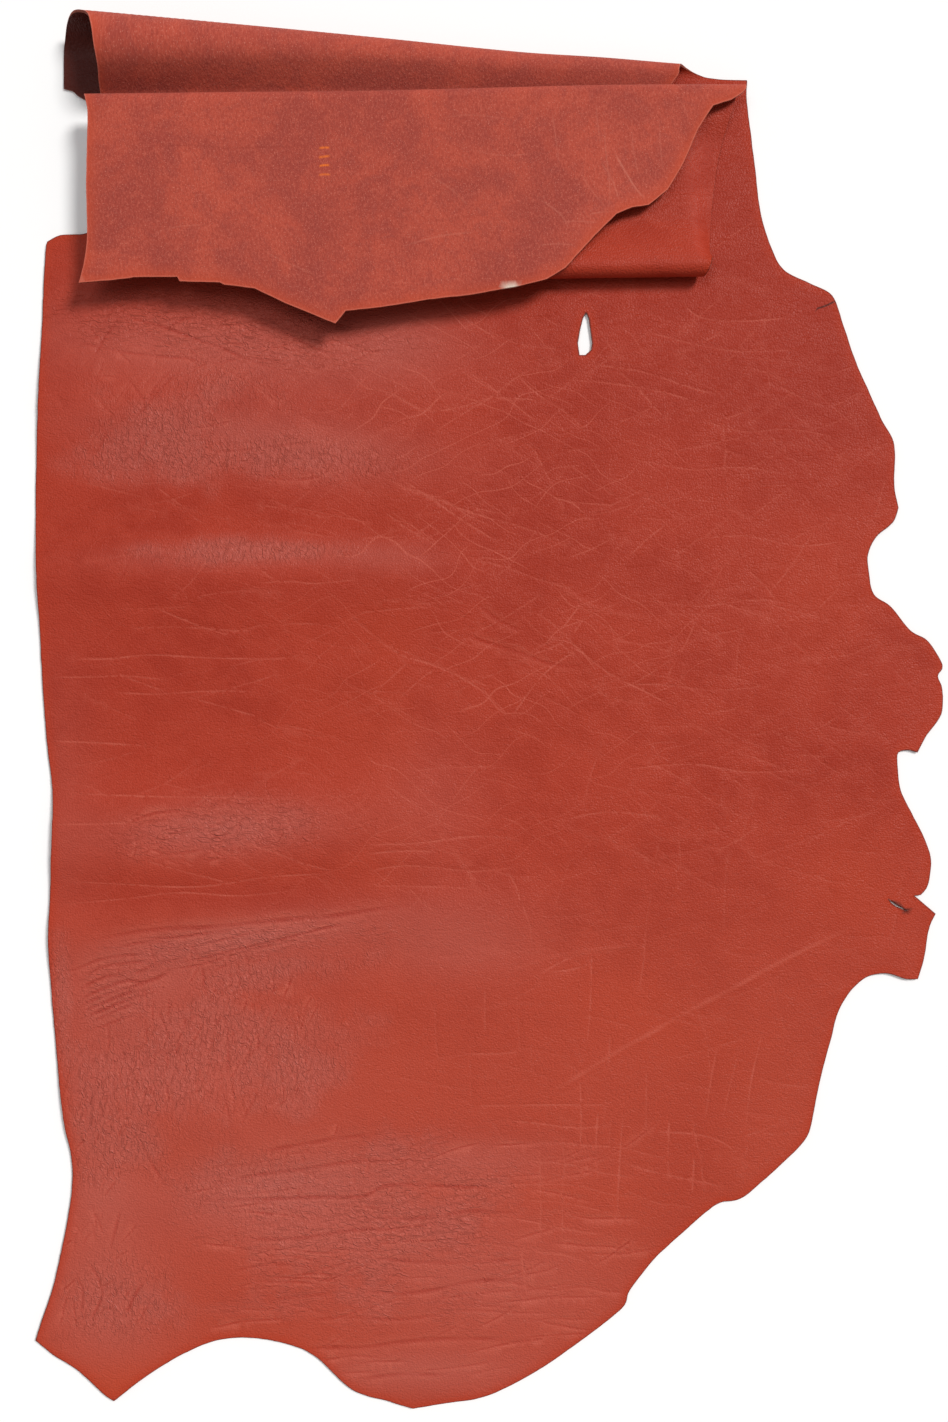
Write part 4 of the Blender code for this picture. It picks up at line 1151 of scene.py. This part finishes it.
def main_grain_points():
    coarse = hex_rows(-420.0, 420.0, -630.0, PART_START[1] - 4.0, 8.2)
    fine = hex_rows(-420.0, 420.0, -630.0, PART_START[1] - 4.0, FINE_GRID)
    _r, wc, _u = wrinkle_relief(coarse[:, 0], coarse[:, 1])
    _r, wf, _u = wrinkle_relief(fine[:, 0], fine[:, 1])
    base = np.concatenate([coarse[wc < 0.30], fine[wf >= 0.30]])
    # one ring just inside the cut edge carries its oranger border and the dark line at the
    # cut, partly painted shade
    nxt, prv = np.roll(OUTER, -1, axis=0), np.roll(OUTER, 1, axis=0)
    way = nxt - prv
    way /= np.linalg.norm(way, axis=1)[:, None] + 1e-9
    side = np.stack([-way[:, 1], way[:, 0]], axis=1)
    lines = [OUTER + 2.8 * side, OUTER - 2.8 * side]
    for pts, way, dep, half, lit in STROKES:
        side = np.stack([-way[:, 1], way[:, 0]], axis=1)
        lines.append(pts)
        lines.append(pts + side * half[:, None])
        lines.append(pts - side * half[:, None])
        if half.max() > 1.8:
            lines.append(pts + side * 0.5 * half[:, None])
            lines.append(pts - side * 0.5 * half[:, None])
    for half, pts in CUTS:
        p, way, t = walk(pts, 1.5)
        side = np.stack([-way[:, 1], way[:, 0]], axis=1) * half
        lines += [p, p + side, p - side]
    lines = thin_out(np.concatenate(lines), 0.88)
    # base points keep off the stroke points
    tree = kdtree.KDTree(len(lines))
    for i, p in enumerate(lines):
        tree.insert((p[0], p[1], 0.0), i)
    tree.balance()
    far = np.array([tree.find((p[0], p[1], 0.0))[2] for p in base])
    print("strokes %d, coarse %d, fine %d" % (len(lines), (wc < 0.30).sum(),
                                             (wf >= 0.30).sum()))
    return np.concatenate([lines, base[far > 1.15]])


def triangles(inner, keep_off):
    """Delaunay triangles of the outline, its holes and the inner points."""
    on = STRIP.inside(inner[:, 0], inner[:, 1])
    inner = inner[on]
    far = edge_distance(inner[:, 0], inner[:, 1])
    inner = inner[far > keep_off]
    for nudge in (0.0, 0.05):
        _u, first = np.unique(np.round(inner + nudge, 1), axis=0,
                              return_index=True)
        inner = inner[np.sort(first)]
    rim_count = sum(len(l) for l in LOOPS)
    points = np.concatenate(LOOPS + [inner])
    edges, at = [], 0
    for loop in LOOPS:
        n = len(loop)
        edges += [(at + k, at + (k + 1) % n) for k in range(n)]
        at += n
    verts, _e, faces, ov, _oe, _of = delaunay_2d_cdt(
        [Vector(p) for p in points.tolist()], edges, [], 0, 1e-6)
    crossed = [tuple(verts[i]) for i, o in enumerate(ov) if not o]
    if crossed or len(verts) != len(points):
        raise RuntimeError("cut edges cross at %s" % crossed)
    order = [o[0] for o in ov]
    if order != list(range(len(points))):
        raise RuntimeError("the triangulation moved its points")
    tri = np.array(faces)
    mid = points[tri].mean(axis=1)
    tri = tri[STRIP.inside(mid[:, 0], mid[:, 1])]
    return points, tri, rim_count


def boundary(tri):
    pairs = np.concatenate([tri[:, [0, 1]], tri[:, [1, 2]], tri[:, [2, 0]]])
    seen = set(map(tuple, pairs.tolist()))
    return sorted(p for p in seen if (p[1], p[0]) not in seen)


grain_pts, grain_tri, RIM = triangles(
    np.concatenate([main_grain_points(), folded_points(7.2)]), 1.3)
coarse_under = hex_rows(-420.0, 420.0, -630.0, PART_START[1] - 14.0, 13.0)
flesh_pts, flesh_tri, _rim = triangles(
    np.concatenate([coarse_under,
                    hex_rows(-405.0, 240.0, PART_START[1] - 8.0,
                             PART_START[1] - 2.0, 5.0),
                    mark_points(FLAP_STROKES), mark_points(CRAYON_STROKES),
                    folded_points(6.2)]), 1.5)
rim_edges = boundary(grain_tri)
if rim_edges != boundary(flesh_tri):
    raise RuntimeError("the two sides do not share their rim")

# ---- lift both sides off the middle surface -------------------------------------
gx, gv = grain_pts[:, 0], grain_pts[:, 1]
grain_mid, grain_n = surface(gx, gv)
g_edge = edge_distance(gx[RIM:], gv[RIM:])
g_edge = np.concatenate([np.zeros(RIM), g_edge])
stroke_depth, stroke_light = fill_strokes(gx, gv)
relief, wrinkled, upright = wrinkle_relief(gx, gv)
on_main = gv < PART_START[1]
near_rim = smooth(g_edge / 5.0)
cut_in = np.clip(-stroke_depth / 0.3, 0.0, 1.0)
height = np.where(on_main, np.clip(stroke_depth, -1.1, 0.5)
                  + relief * (1.0 - 0.6 * cut_in), 0.0)
height = np.clip(height, -1.15, 0.45) * near_rim
grain_at = grain_mid + grain_n * (0.5 * THICKNESS + height)[:, None]

fx, fv = flesh_pts[:, 0], flesh_pts[:, 1]
flesh_mid, flesh_n = surface(fx, fv)
flesh_at = flesh_mid - flesh_n * (0.5 * THICKNESS)
f_edge = np.concatenate([np.zeros(RIM),
                         edge_distance(fx[RIM:], fv[RIM:])])

# rim: a third loop half way through the thickness, a touch proud
rim_mid = 0.5 * (grain_at[:RIM] + flesh_at[:RIM])
outward = np.zeros((RIM, 3))
across = {}
for a, b in rim_edges:
    way = grain_at[b] - grain_at[a]
    out = np.cross(way, grain_n[a])
    out /= np.linalg.norm(out) + 1e-9
    outward[a] += out
    outward[b] += out
outward /= np.linalg.norm(outward, axis=1)[:, None] + 1e-9
rim_mid += outward * 0.30

ng, nf = len(grain_at), len(flesh_at)
all_at = np.concatenate([grain_at, flesh_at, rim_mid])
faces = [grain_tri,
         flesh_tri[:, ::-1] + ng]
rim_faces = []
for a, b in rim_edges:
    ga, gb, ma, mb, fa, fb = a, b, ng + nf + a, ng + nf + b, ng + a, ng + b
    rim_faces += [(gb, ga, ma), (gb, ma, mb), (mb, ma, fa), (mb, fa, fb)]
rim_faces = np.array(rim_faces)
faces = np.concatenate(faces + [rim_faces])
face_kind = np.concatenate([np.zeros(len(grain_tri), int),
                            np.ones(len(flesh_tri), int),
                            np.full(len(rim_faces), 2)])

# centre on the CAD solid, which is the same sheet with fewer points
low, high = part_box("hide")
shift = [0.5 * (low[i] + high[i]) / MM
         - 0.5 * (all_at[:, i].min() + all_at[:, i].max()) for i in (0, 1)]
all_at[:, 0] += shift[0]
all_at[:, 1] += shift[1]
all_at[:, 2] += max(0.0, -all_at[:, 2].min())

mesh = bpy.data.meshes.new("leather_hide")
mesh.from_pydata((all_at * MM).tolist(), [], faces.tolist())
mesh.update()
mesh.polygons.foreach_set("material_index", face_kind.astype(np.int32))
mesh.shade_smooth()
# sharp where the cut edge meets the two sides
verts_of = np.zeros(len(mesh.edges) * 2, dtype=np.int32)
mesh.edges.foreach_get("vertices", verts_of)
verts_of = np.sort(verts_of.reshape(-1, 2), axis=1)
rim_set = {(min(a, b), max(a, b)) for a, b in rim_edges} \
    | {(min(a, b) + ng, max(a, b) + ng) for a, b in rim_edges}
sharp = np.array([tuple(e) in rim_set for e in verts_of.tolist()])
mesh.attributes.new("sharp_edge", "BOOLEAN", "EDGE").data.foreach_set(
    "value", sharp)


# ---- what the materials read from the mesh ------------------------------------
def blot(x, y, spots):
    total = np.zeros_like(x)
    for cx, cy, rx, ry, turn, amount in spots:
        a = math.radians(turn)
        u = ((x - cx) * math.cos(a) + (y - cy) * math.sin(a)) / rx
        w = (-(x - cx) * math.sin(a) + (y - cy) * math.cos(a)) / ry
        total += amount * np.exp(-(u * u + w * w))
    return total


# soft patches of the grain side: centre, half sizes, turn, amount
DYE_AND_VALLEY_SHADE = [  # darker, more saturated dye, and painted shade in the narrow bands along the valleys beside the soft crests
    # painted shade: this band and the ones at y -152.9 and -163.6 lie in the valleys
    # beside the soft crests
    (-195.7, 117.7, 232, 14, 0, 0.55),
    (-195.7, -152.9, 188, 13, -4, 0.6),
    (-213.6, 193.6, 170, 23, 0, 0.3),
    (-383.2, 73, 54, 232, 0, 0.2),
    (277.6, 19.5, 63, 232, 10, 0.2),
    (206.1, 198.1, 107, 161, 0, 0.15),
    (179.4, -409.2, 36, 143, -8, 0.35),
    (81.1, 349.9, 143, 54, 0, 0.15),
    (-17.1, -373.5, 143, 20, 2, 0.25),
    (-52.8, -601.2, 54, 16, 0, 0.3),
    (-302.9, -440.4, 45, 21, 0, 0.3),
    (134.7, 434.7, 54, 21, 0, 0.35),
    (-213.6, 28.4, 143, 27, 0, 0.18),
    (-86.8, -89.5, 3, 3, 0, 0.9),
    (232.9, 466, 89, 107, 0, 0.95),
    (304.4, 314.2, 71, 107, 0, 0.85),
    (-17.1, 144.5, 134, 107, 0, 0.4),
    (-320.7, 59.7, 80, 45, 0, 0.35),
    (99, 287.4, 107, 80, 0, 0.3),
    (-213.6, -163.6, 152, 7, -4, 0.4),
    (349, 1.6, 45, 54, 0, 0.3),
]
WEAR_AND_SHEEN = [  # worn, greyer finish, and painted sheen: paler, greyer colour where the grain would catch a glancing reflection
    (-240.4, 336.5, 161, 41, -4, 0.62),
    (-213.6, 251.6, 152, 27, -6, 0.5),
    (-142.1, 233.8, 54, 23, 0, 0.25),
    (-213.6, 148.1, 107, 11, 2, 0.5),
    (-79.6, 340.9, 54, 32, 0, 0.38),
    (-84.1, 144.5, 45, 13, 0, 0.28),
    (-235.9, -94.8, 94, 23, 4, 0.75),
    (-222.5, -190.4, 116, 14, 7, 0.55),
    (-231.4, -212.7, 134, 32, 8, 0.42),
    (-276.1, -302, 116, 54, 0, 0.55),
    (-52.8, -69.8, 54, 63, 0, 0.2),
    (-26, -194.9, 80, 36, 0, 0.4),
    (-195.7, -418.1, 98, 39, 4, 0.8),
    (-347.5, -409.2, 36, 54, 0, 0.5),
    (-338.6, -516.3, 54, 54, 0, 0.65),
    (-17.1, -391.3, 80, 21, 0, 0.4),
    (-61.8, -578.8, 98, 21, 0, 0.5),
    (27.5, -507.4, 107, 54, 0, 0.3),
    (-383.2, -69.8, 36, 107, 0, 0.2),
    (-79.6, -462.8, 107, 71, 0, 0.35),
    (-329.7, -239.5, 54, 36, 20, 0.25),
]
BRIGHTER = [  # more orange
    (143.6, 434.7, 54, 13, 0, 0.5),
    (295.4, 108.8, 54, 80, 0, 0.4),
    (134.7, -257.4, 107, 36, -24, 0.35),
    (-8.2, -418.1, 107, 14, 0, 0.45),
    (322.2, -141.3, 45, 54, 0, 0.4),
    (-258.2, -583.3, 107, 21, 14, 0.7),
    (-338.6, -587.8, 45, 23, 0, 0.7),
    (-293.9, -235, 54, 23, 20, 0.15),
    (-213.6, -382.4, 80, 11, 0, 0.25),
    (-88.5, 19.5, 27, 268, 0, 0.25),
    (63.3, 19.5, 143, 107, 0, 0.15),
    (-142.1, 1.6, 54, 107, 0, 0.2),
]

tone = {}
my = np.where(on_main, gv, 2000.0)
tone["dark"] = np.clip(blot(gx, my, DYE_AND_VALLEY_SHADE), 0.0, 1.0)
tone["wear_and_sheen"] = np.clip(blot(gx, my, WEAR_AND_SHEEN), 0.0, 1.0)
tone["orange"] = np.clip(blot(gx, my, BRIGHTER), 0.0, 1.0)
# painted sheen: the wrinkled zones are made paler and greyer, as if their small slopes
# caught the light
tone["wear_and_sheen"] = np.maximum(tone["wear_and_sheen"], 0.62 * wrinkled * (my < 330.0))
NET = [  # where crossing neck lines are dense
    (-17.1, 162.3, 134, 214, 0, 1),
    (-17.1, 287.4, 98, 71, 0, 0.4),
    (-61.8, -105.6, 71, 80, 0, 0.35),
    (134.7, 73, 98, 152, 0, 0.35),
]
tone["net"] = np.clip(0.22 + blot(gx, my, NET), 0.0, 1.0)
tone["low"] = np.where(on_main, smooth((-20.0 - gv) / 360.0), 0.0)


def put(name, grain, flesh=None, rim=None):
    values = np.zeros(ng + nf + RIM, dtype=np.float32)
    values[:ng] = grain
    values[ng:ng + nf] = 0.0 if flesh is None else flesh
    values[ng + nf:] = 0.0 if rim is None else rim
    mesh.attributes.new(name, "FLOAT", "POINT").data.foreach_set(
        "value", values)


flat = np.zeros((ng + nf + RIM, 3), dtype=np.float32)
flat[:ng, :2] = grain_pts * MM
flat[ng:ng + nf, :2] = flesh_pts * MM
flat[ng + nf:, :2] = grain_pts[:RIM] * MM
flat[ng:ng + nf, 2] = 0.002
flat[ng + nf:, 2] = 0.001
mesh.attributes.new("flat", "FLOAT_VECTOR", "POINT").data.foreach_set(
    "vector", flat.ravel())
flap_marks = mark_values(FLAP_STROKES, fx, fv)
put("line", np.clip(stroke_light, 0.0, 1.0) * near_rim,
    np.clip(flap_marks, 0.0, 1.0))
put("shade", 0.0, np.clip(-flap_marks, 0.0, 1.0))
put("crayon", 0.0, np.clip(mark_values(CRAYON_STROKES, fx, fv), 0.0, 1.0))
# painted shade: the knife cuts are dark lines in the colour, not openings in the sheet
slit_shade_mask = np.zeros_like(gx)
for _half, _pts in CUTS:
    _p, _way, _t = walk(_pts, 0.6)
    _d = np.hypot(gx[:, None] - _p[None, :, 0],
                  gv[:, None] - _p[None, :, 1]).min(axis=1)
    slit_shade_mask = np.maximum(slit_shade_mask, np.clip(1.6 - 1.6 * _d / _half, 0.0, 1.0))
put("slit_shade", slit_shade_mask)
put("upright", upright)
put("net", tone["net"])
put("low", tone["low"])
# a pale spot on the flap's cut edge
_spot = on_flap([((511.0 - 489.15) * 0.893, (721.8 - 287.0) * 0.893)])[0]


def pale_spot(x, v):
    return np.clip(1.6 - 1.6 * np.hypot((x - _spot[0]) / 8.5,
                                        (v - _spot[1]) / 3.6), 0.0, 1.0)


put("pale_spot", pale_spot(gx, gv), pale_spot(fx, fv), pale_spot(gx[:RIM], gv[:RIM]))
# painted shade: the troughs of the creases and wrinkles get a darker colour
put("trough_shade", np.clip(-height / 0.8, 0.0, 1.0))
put("wrinkled", wrinkled)
put("dark", tone["dark"])
put("wear_and_sheen", tone["wear_and_sheen"])
put("orange", tone["orange"])
put("edge", np.exp(-g_edge / 5.5) * np.where(gv > PART_START[6], 0.3, 1.0),
    np.exp(-f_edge / 8.0), 1.0)
# painted shade: the grain side inside the roll sees no light but what comes in at the
# ends, so its colour is darkened towards near black
painted_roll_shade = smooth((gv - 520.0) / 40.0) * smooth((PART_START[4] - gv) / 8.0) \
    * smooth((-250.0 - gx) / 60.0)
put("painted_roll_shade", painted_roll_shade)
mesh.validate()

hide = link(bpy.data.objects.new("leather_hide", mesh))
print("hide: %d triangles, grain %d, flesh %d, shift %.3f %.3f"
      % (len(faces), len(grain_tri), len(flesh_tri), shift[0], shift[1]))


# ======================================================================
# materials
# ======================================================================
class Nodes:
    """A short way to write a node tree."""

    def __init__(self, name):
        self.mat = bpy.data.materials.new(name)
        self.mat.use_nodes = True
        self.tree = self.mat.node_tree
        self.bsdf = self.tree.nodes["Principled BSDF"]

    def put(self, node, index, value):
        if value is None:
            return
        if isinstance(value, bpy.types.NodeSocket):
            self.tree.links.new(value, node.inputs[index])
        else:
            node.inputs[index].default_value = value

    def math(self, op, a, b=None, c=None, clamp=False):
        node = self.tree.nodes.new("ShaderNodeMath")
        node.operation = op
        node.use_clamp = clamp
        for i, value in enumerate((a, b, c)):
            self.put(node, i, value)
        return node.outputs[0]

    def attr(self, name, vector=False):
        node = self.tree.nodes.new("ShaderNodeAttribute")
        node.attribute_name = name
        return node.outputs["Vector"] if vector else node.outputs["Fac"]

    def scaled(self, vector, scale, offset=(0.0, 0.0, 0.0), turn=0.0):
        node = self.tree.nodes.new("ShaderNodeMapping")
        node.vector_type = "POINT"
        self.put(node, "Vector", vector)
        node.inputs["Scale"].default_value = scale
        node.inputs["Location"].default_value = offset
        node.inputs["Rotation"].default_value = (0.0, 0.0, math.radians(turn))
        return node.outputs[0]

    def noise(self, vector, scale, detail=2.0, rough=0.5, distort=0.0):
        node = self.tree.nodes.new("ShaderNodeTexNoise")
        node.noise_dimensions = "2D"
        self.put(node, "Vector", vector)
        node.inputs["Scale"].default_value = scale
        node.inputs["Detail"].default_value = detail
        node.inputs["Roughness"].default_value = rough
        node.inputs["Distortion"].default_value = distort
        return node.outputs["Fac"]

    def cells(self, vector, scale, feature="F1", smooth=None):
        node = self.tree.nodes.new("ShaderNodeTexVoronoi")
        node.voronoi_dimensions = "2D"
        node.feature = feature
        self.put(node, "Vector", vector)
        node.inputs["Scale"].default_value = scale
        if smooth is not None:
            node.inputs["Smoothness"].default_value = smooth
        return node.outputs["Distance"]

    def remap(self, value, a, b, c=0.0, d=1.0, smooth=True):
        node = self.tree.nodes.new("ShaderNodeMapRange")
        node.interpolation_type = "SMOOTHSTEP" if smooth else "LINEAR"
        self.put(node, "Value", value)
        node.inputs["From Min"].default_value = a
        node.inputs["From Max"].default_value = b
        node.inputs["To Min"].default_value = c
        node.inputs["To Max"].default_value = d
        return node.outputs["Result"]

    def mix(self, amount, a, b, blend="MIX"):
        node = self.tree.nodes.new("ShaderNodeMix")
        node.data_type = "RGBA"
        node.blend_type = blend
        node.clamp_factor = True
        self.put(node, 0, amount)
        self.put(node, 6, a if isinstance(a, bpy.types.NodeSocket)
                 else (*a, 1.0))
        self.put(node, 7, b if isinstance(b, bpy.types.NodeSocket)
                 else (*b, 1.0))
        return node.outputs[2]

    def bump(self, height, strength, distance, normal=None):
        node = self.tree.nodes.new("ShaderNodeBump")
        node.inputs["Strength"].default_value = strength
        node.inputs["Distance"].default_value = distance
        self.put(node, "Height", height)
        if normal is not None:
            self.put(node, "Normal", normal)
        return node.outputs["Normal"]

    def out(self, name, value):
        self.put(self.bsdf, name, value)

    def fine_lines(self, flat, turn, spacing, width, seed, keep=0.5):
        """Thin irregular lines in one direction, here and there."""
        warp = self.noise(self.scaled(flat, (1.0, 1.0, 1.0),
                                      (seed * 0.37, seed * 0.73, 0.0)),
                          16.0, 1.0, 0.55)
        turned = self.scaled(flat, (1.0, 1.0, 1.0), (0.0, seed * 0.011, 0.0),
                             turn)
        split = self.tree.nodes.new("ShaderNodeSeparateXYZ")
        self.put(split, 0, turned)
        across = self.math("MULTIPLY_ADD", warp, 2.4 * spacing,
                           split.outputs[1])
        cell = self.math("MULTIPLY", across, 1.0 / spacing)
        number = self.math("FLOOR", cell)
        away = self.math("ABSOLUTE", self.math(
            "SUBTRACT", self.math("FRACT", cell), 0.5))
        rand = self.tree.nodes.new("ShaderNodeTexWhiteNoise")
        rand.noise_dimensions = "1D"
        self.put(rand, "W", number)
        line = self.remap(away, width / spacing, 0.25 * width / spacing)
        # each line comes and goes on its own
        shift = self.tree.nodes.new("ShaderNodeCombineXYZ")
        self.put(shift, 0, self.math(
            "MULTIPLY_ADD", split.outputs[0], 13.0,
            self.math("MULTIPLY", rand.outputs["Value"], 37.0)))
        self.put(shift, 1, self.math("MULTIPLY", number, 3.7))
        there = self.noise(shift.outputs[0], 1.0, 0.0, 0.5)
        there = self.remap(there, keep, keep + 0.16)
        return self.math("MULTIPLY", line, there)


def grain_material():
    n = Nodes("hide_grain_side")
    flat = n.attr("flat", vector=True)
    # colour: deep red brown, uneven dye at several sizes
    big = n.noise(flat, 9.0, 2.0, 0.55)
    mid = n.noise(n.scaled(flat, (1.0, 1.25, 1.0)), 38.0, 2.0, 0.6)
    small = n.noise(n.scaled(flat, (1.0, 1.8, 1.0)), 520.0, 1.0, 0.6)
    low = n.attr("low")
    base = n.mix(n.remap(big, 0.36, 0.66), (0.345, 0.030, 0.0125),
                 (0.392, 0.038, 0.0165))
    base = n.mix(n.remap(mid, 0.35, 0.68, 0.0, 0.55), base,
                 (0.410, 0.044, 0.0205))
    # lighter and paler towards the tail end
    base = n.mix(n.math("MULTIPLY", low, 0.75), base, (0.445, 0.063, 0.033))
    base = n.mix(n.remap(small, 0.40, 0.78, 0.0, 0.30), base,
                 (0.265, 0.022, 0.010))
    # darker dye, and painted shade along the valleys beside the soft crests
    base = n.mix(n.math("MULTIPLY", n.attr("dark"), 0.72), base,
                 (0.318, 0.026, 0.0115))
    base = n.mix(n.math("MULTIPLY", n.attr("orange"), 0.72), base,
                 (0.462, 0.051, 0.017))
    # painted sheen with real wear: paler, greyer colour from the wear and sheen patches
    # and the wrinkled zones
    base = n.mix(n.math("MULTIPLY", n.attr("wear_and_sheen"), 0.88), base,
                 (0.455, 0.112, 0.086))
    # fine healed lines, lighter than the rest, and the stroke lightness, which beside deep
    # creases is partly painted highlight
    l1 = n.fine_lines(flat, 31.0, 0.0125, 0.00058, 1.0, 0.46)
    l2 = n.fine_lines(flat, -29.0, 0.0140, 0.00058, 2.0, 0.47)
    lines = n.math("MAXIMUM", l1, l2)
    line = n.math("MAXIMUM", n.math("MULTIPLY", n.attr("net"),
                                    n.math("MULTIPLY", lines, 0.62)),
                  n.attr("line"))
    grit = n.remap(small, 0.3, 0.62, 0.60, 1.0)
    line = n.math("MULTIPLY", line, grit)
    base = n.mix(n.math("MULTIPLY", line, 0.80), base, (0.560, 0.120, 0.078))
    # painted shade in the troughs of the creases and wrinkles
    base = n.mix(n.math("MULTIPLY", n.attr("trough_shade"), 0.50), base,
                 (0.300, 0.020, 0.010))
    # the cut rim: a little more orange, then a dark line right at the cut, the cut's
    # darker colour together with painted shade of the rim
    rim = n.attr("edge")
    base = n.mix(n.remap(rim, 0.10, 0.85, 0.0, 0.60), base,
                 (0.415, 0.036, 0.011))
    base = n.mix(n.remap(rim, 0.84, 0.98, 0.0, 0.70), base,
                 (0.100, 0.016, 0.010))
    # painted shade: the grain side inside the roll is darkened towards near black
    base = n.mix(n.math("MULTIPLY", n.attr("painted_roll_shade"), 0.86), base,
                 (0.035, 0.008, 0.006))
    # painted shade along the knife cuts
    base = n.mix(n.attr("slit_shade"), base, (0.045, 0.012, 0.009))
    n.out("Base Color", base)
    # sheen follows wear and the wrinkles
    rough = n.remap(mid, 0.3, 0.7, 0.50, 0.42)
    rough = n.math("MULTIPLY_ADD", n.attr("wear_and_sheen"), -0.07, rough)
    n.out("Roughness", rough)
    n.bsdf.inputs["Specular IOR Level"].default_value = 0.15
    # pebble grain of about 1.5 mm everywhere, and the fine wrinkles between
    # the modelled ones, running up the hide in some zones and across in others
    pebble = n.cells(flat, 620.0)
    up = n.noise(n.scaled(flat, (1.0, 0.55, 1.0), (0.0, 0.0, 0.0), 10.0),
                 270.0, 1.0, 0.6, 1.0)
    along = n.noise(n.scaled(flat, (0.45, 1.0, 1.0), (0.3, 0.1, 0.0), -18.0),
                    270.0, 1.0, 0.6, 1.0)
    pick = n.tree.nodes.new("ShaderNodeMix")
    pick.data_type = "FLOAT"
    n.put(pick, 0, n.attr("upright"))
    n.put(pick, 2, along)
    n.put(pick, 3, up)
    crumple = n.math("ABSOLUTE", n.math("SUBTRACT", pick.outputs[0], 0.5))
    wr = n.attr("wrinkled")
    h = n.math("MULTIPLY", pebble, -0.50)
    h = n.math("MULTIPLY_ADD", crumple,
               n.math("MULTIPLY_ADD", wr, 3.4, 1.1), h)
    n.out("Normal", n.bump(h, 0.70, 0.0010))
    return n.mat


def flesh_material():
    n = Nodes("hide_flesh_side")
    flat = n.attr("flat", vector=True)
    big = n.noise(flat, 15.0, 3.0, 0.62, 0.4)
    blotch = n.noise(n.scaled(flat, (1.0, 1.0, 1.0), (3.1, 1.7, 0.0)),
                     66.0, 3.0, 0.72, 0.5)
    fibre = n.noise(n.scaled(flat, (1.0, 0.55, 1.0), (0, 0, 0), 8.0),
                    520.0, 2.0, 0.80)
    speck = n.noise(flat, 880.0, 1.0, 0.7)
    base = n.mix(n.remap(big, 0.34, 0.66), (0.340, 0.054, 0.037),
                 (0.440, 0.070, 0.042))
    base = n.mix(n.remap(blotch, 0.46, 0.70, 0.0, 0.40), base,
                 (0.300, 0.052, 0.040))
    base = n.mix(n.remap(blotch, 0.44, 0.26, 0.0, 0.34), base,
                 (0.500, 0.092, 0.056))
    base = n.mix(n.remap(fibre, 0.50, 0.72, 0.0, 0.34), base,
                 (0.58, 0.135, 0.090))
    base = n.mix(n.remap(fibre, 0.48, 0.30, 0.0, 0.40), base,
                 (0.270, 0.036, 0.024))
    base = n.mix(n.remap(speck, 0.66, 0.76, 0.0, 0.55), base,
                 (0.66, 0.24, 0.175))
    base = n.mix(n.math("MULTIPLY", n.attr("line"), 0.65), base,
                 (0.62, 0.200, 0.140))
    base = n.mix(n.math("MULTIPLY", n.attr("shade"), 0.6), base,
                 (0.26, 0.034, 0.022))
    rim = n.attr("edge")
    base = n.mix(n.remap(rim, 0.08, 0.9, 0.0, 0.50), base,
                 (0.500, 0.066, 0.026))
    # painted highlight: a lighter line right at the cut, where the cut edge catches the
    # light
    base = n.mix(n.remap(rim, 0.84, 0.97, 0.0, 0.45), base,
                 (0.620, 0.165, 0.110))
    wax = n.math("MULTIPLY", n.attr("crayon"),
                 n.remap(fibre, 0.30, 0.46, 0.55, 1.0))
    base = n.mix(wax, base, (0.82, 0.175, 0.020))
    base = n.mix(n.attr("pale_spot"), base, (0.72, 0.60, 0.50))
    n.out("Base Color", base)
    n.bsdf.inputs["Roughness"].default_value = 0.88
    n.bsdf.inputs["Specular IOR Level"].default_value = 0.15
    n.bsdf.inputs["Sheen Weight"].default_value = 0.08
    n.bsdf.inputs["Sheen Roughness"].default_value = 0.55
    n.bsdf.inputs["Sheen Tint"].default_value = (0.9, 0.62, 0.55, 1.0)
    n.out("Normal", n.bump(fibre, 0.60, 0.0010))
    return n.mat


def cut_material():
    n = Nodes("hide_cut_edge")
    flat = n.attr("flat", vector=True)
    grainy = n.noise(n.scaled(flat, (1.0, 1.0, 3.0)), 700.0, 3.0, 0.65)
    slow = n.noise(flat, 24.0, 2.0, 0.5)
    base = n.mix(n.remap(grainy, 0.35, 0.7), (0.150, 0.028, 0.017),
                 (0.265, 0.055, 0.030))
    base = n.mix(n.remap(slow, 0.45, 0.7, 0.0, 0.6), base,
                 (0.360, 0.085, 0.045))
    base = n.mix(n.attr("pale_spot"), base, (0.72, 0.60, 0.50))
    n.out("Base Color", base)
    n.bsdf.inputs["Roughness"].default_value = 0.78
    n.bsdf.inputs["Specular IOR Level"].default_value = 0.25
    n.out("Normal", n.bump(grainy, 0.6, 0.0006))
    return n.mat


for material in (grain_material(), flesh_material(), cut_material()):
    mesh.materials.append(material)

# ======================================================================
# what the hide is, for the frame
# ======================================================================
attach(hide, "root")
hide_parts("hide")
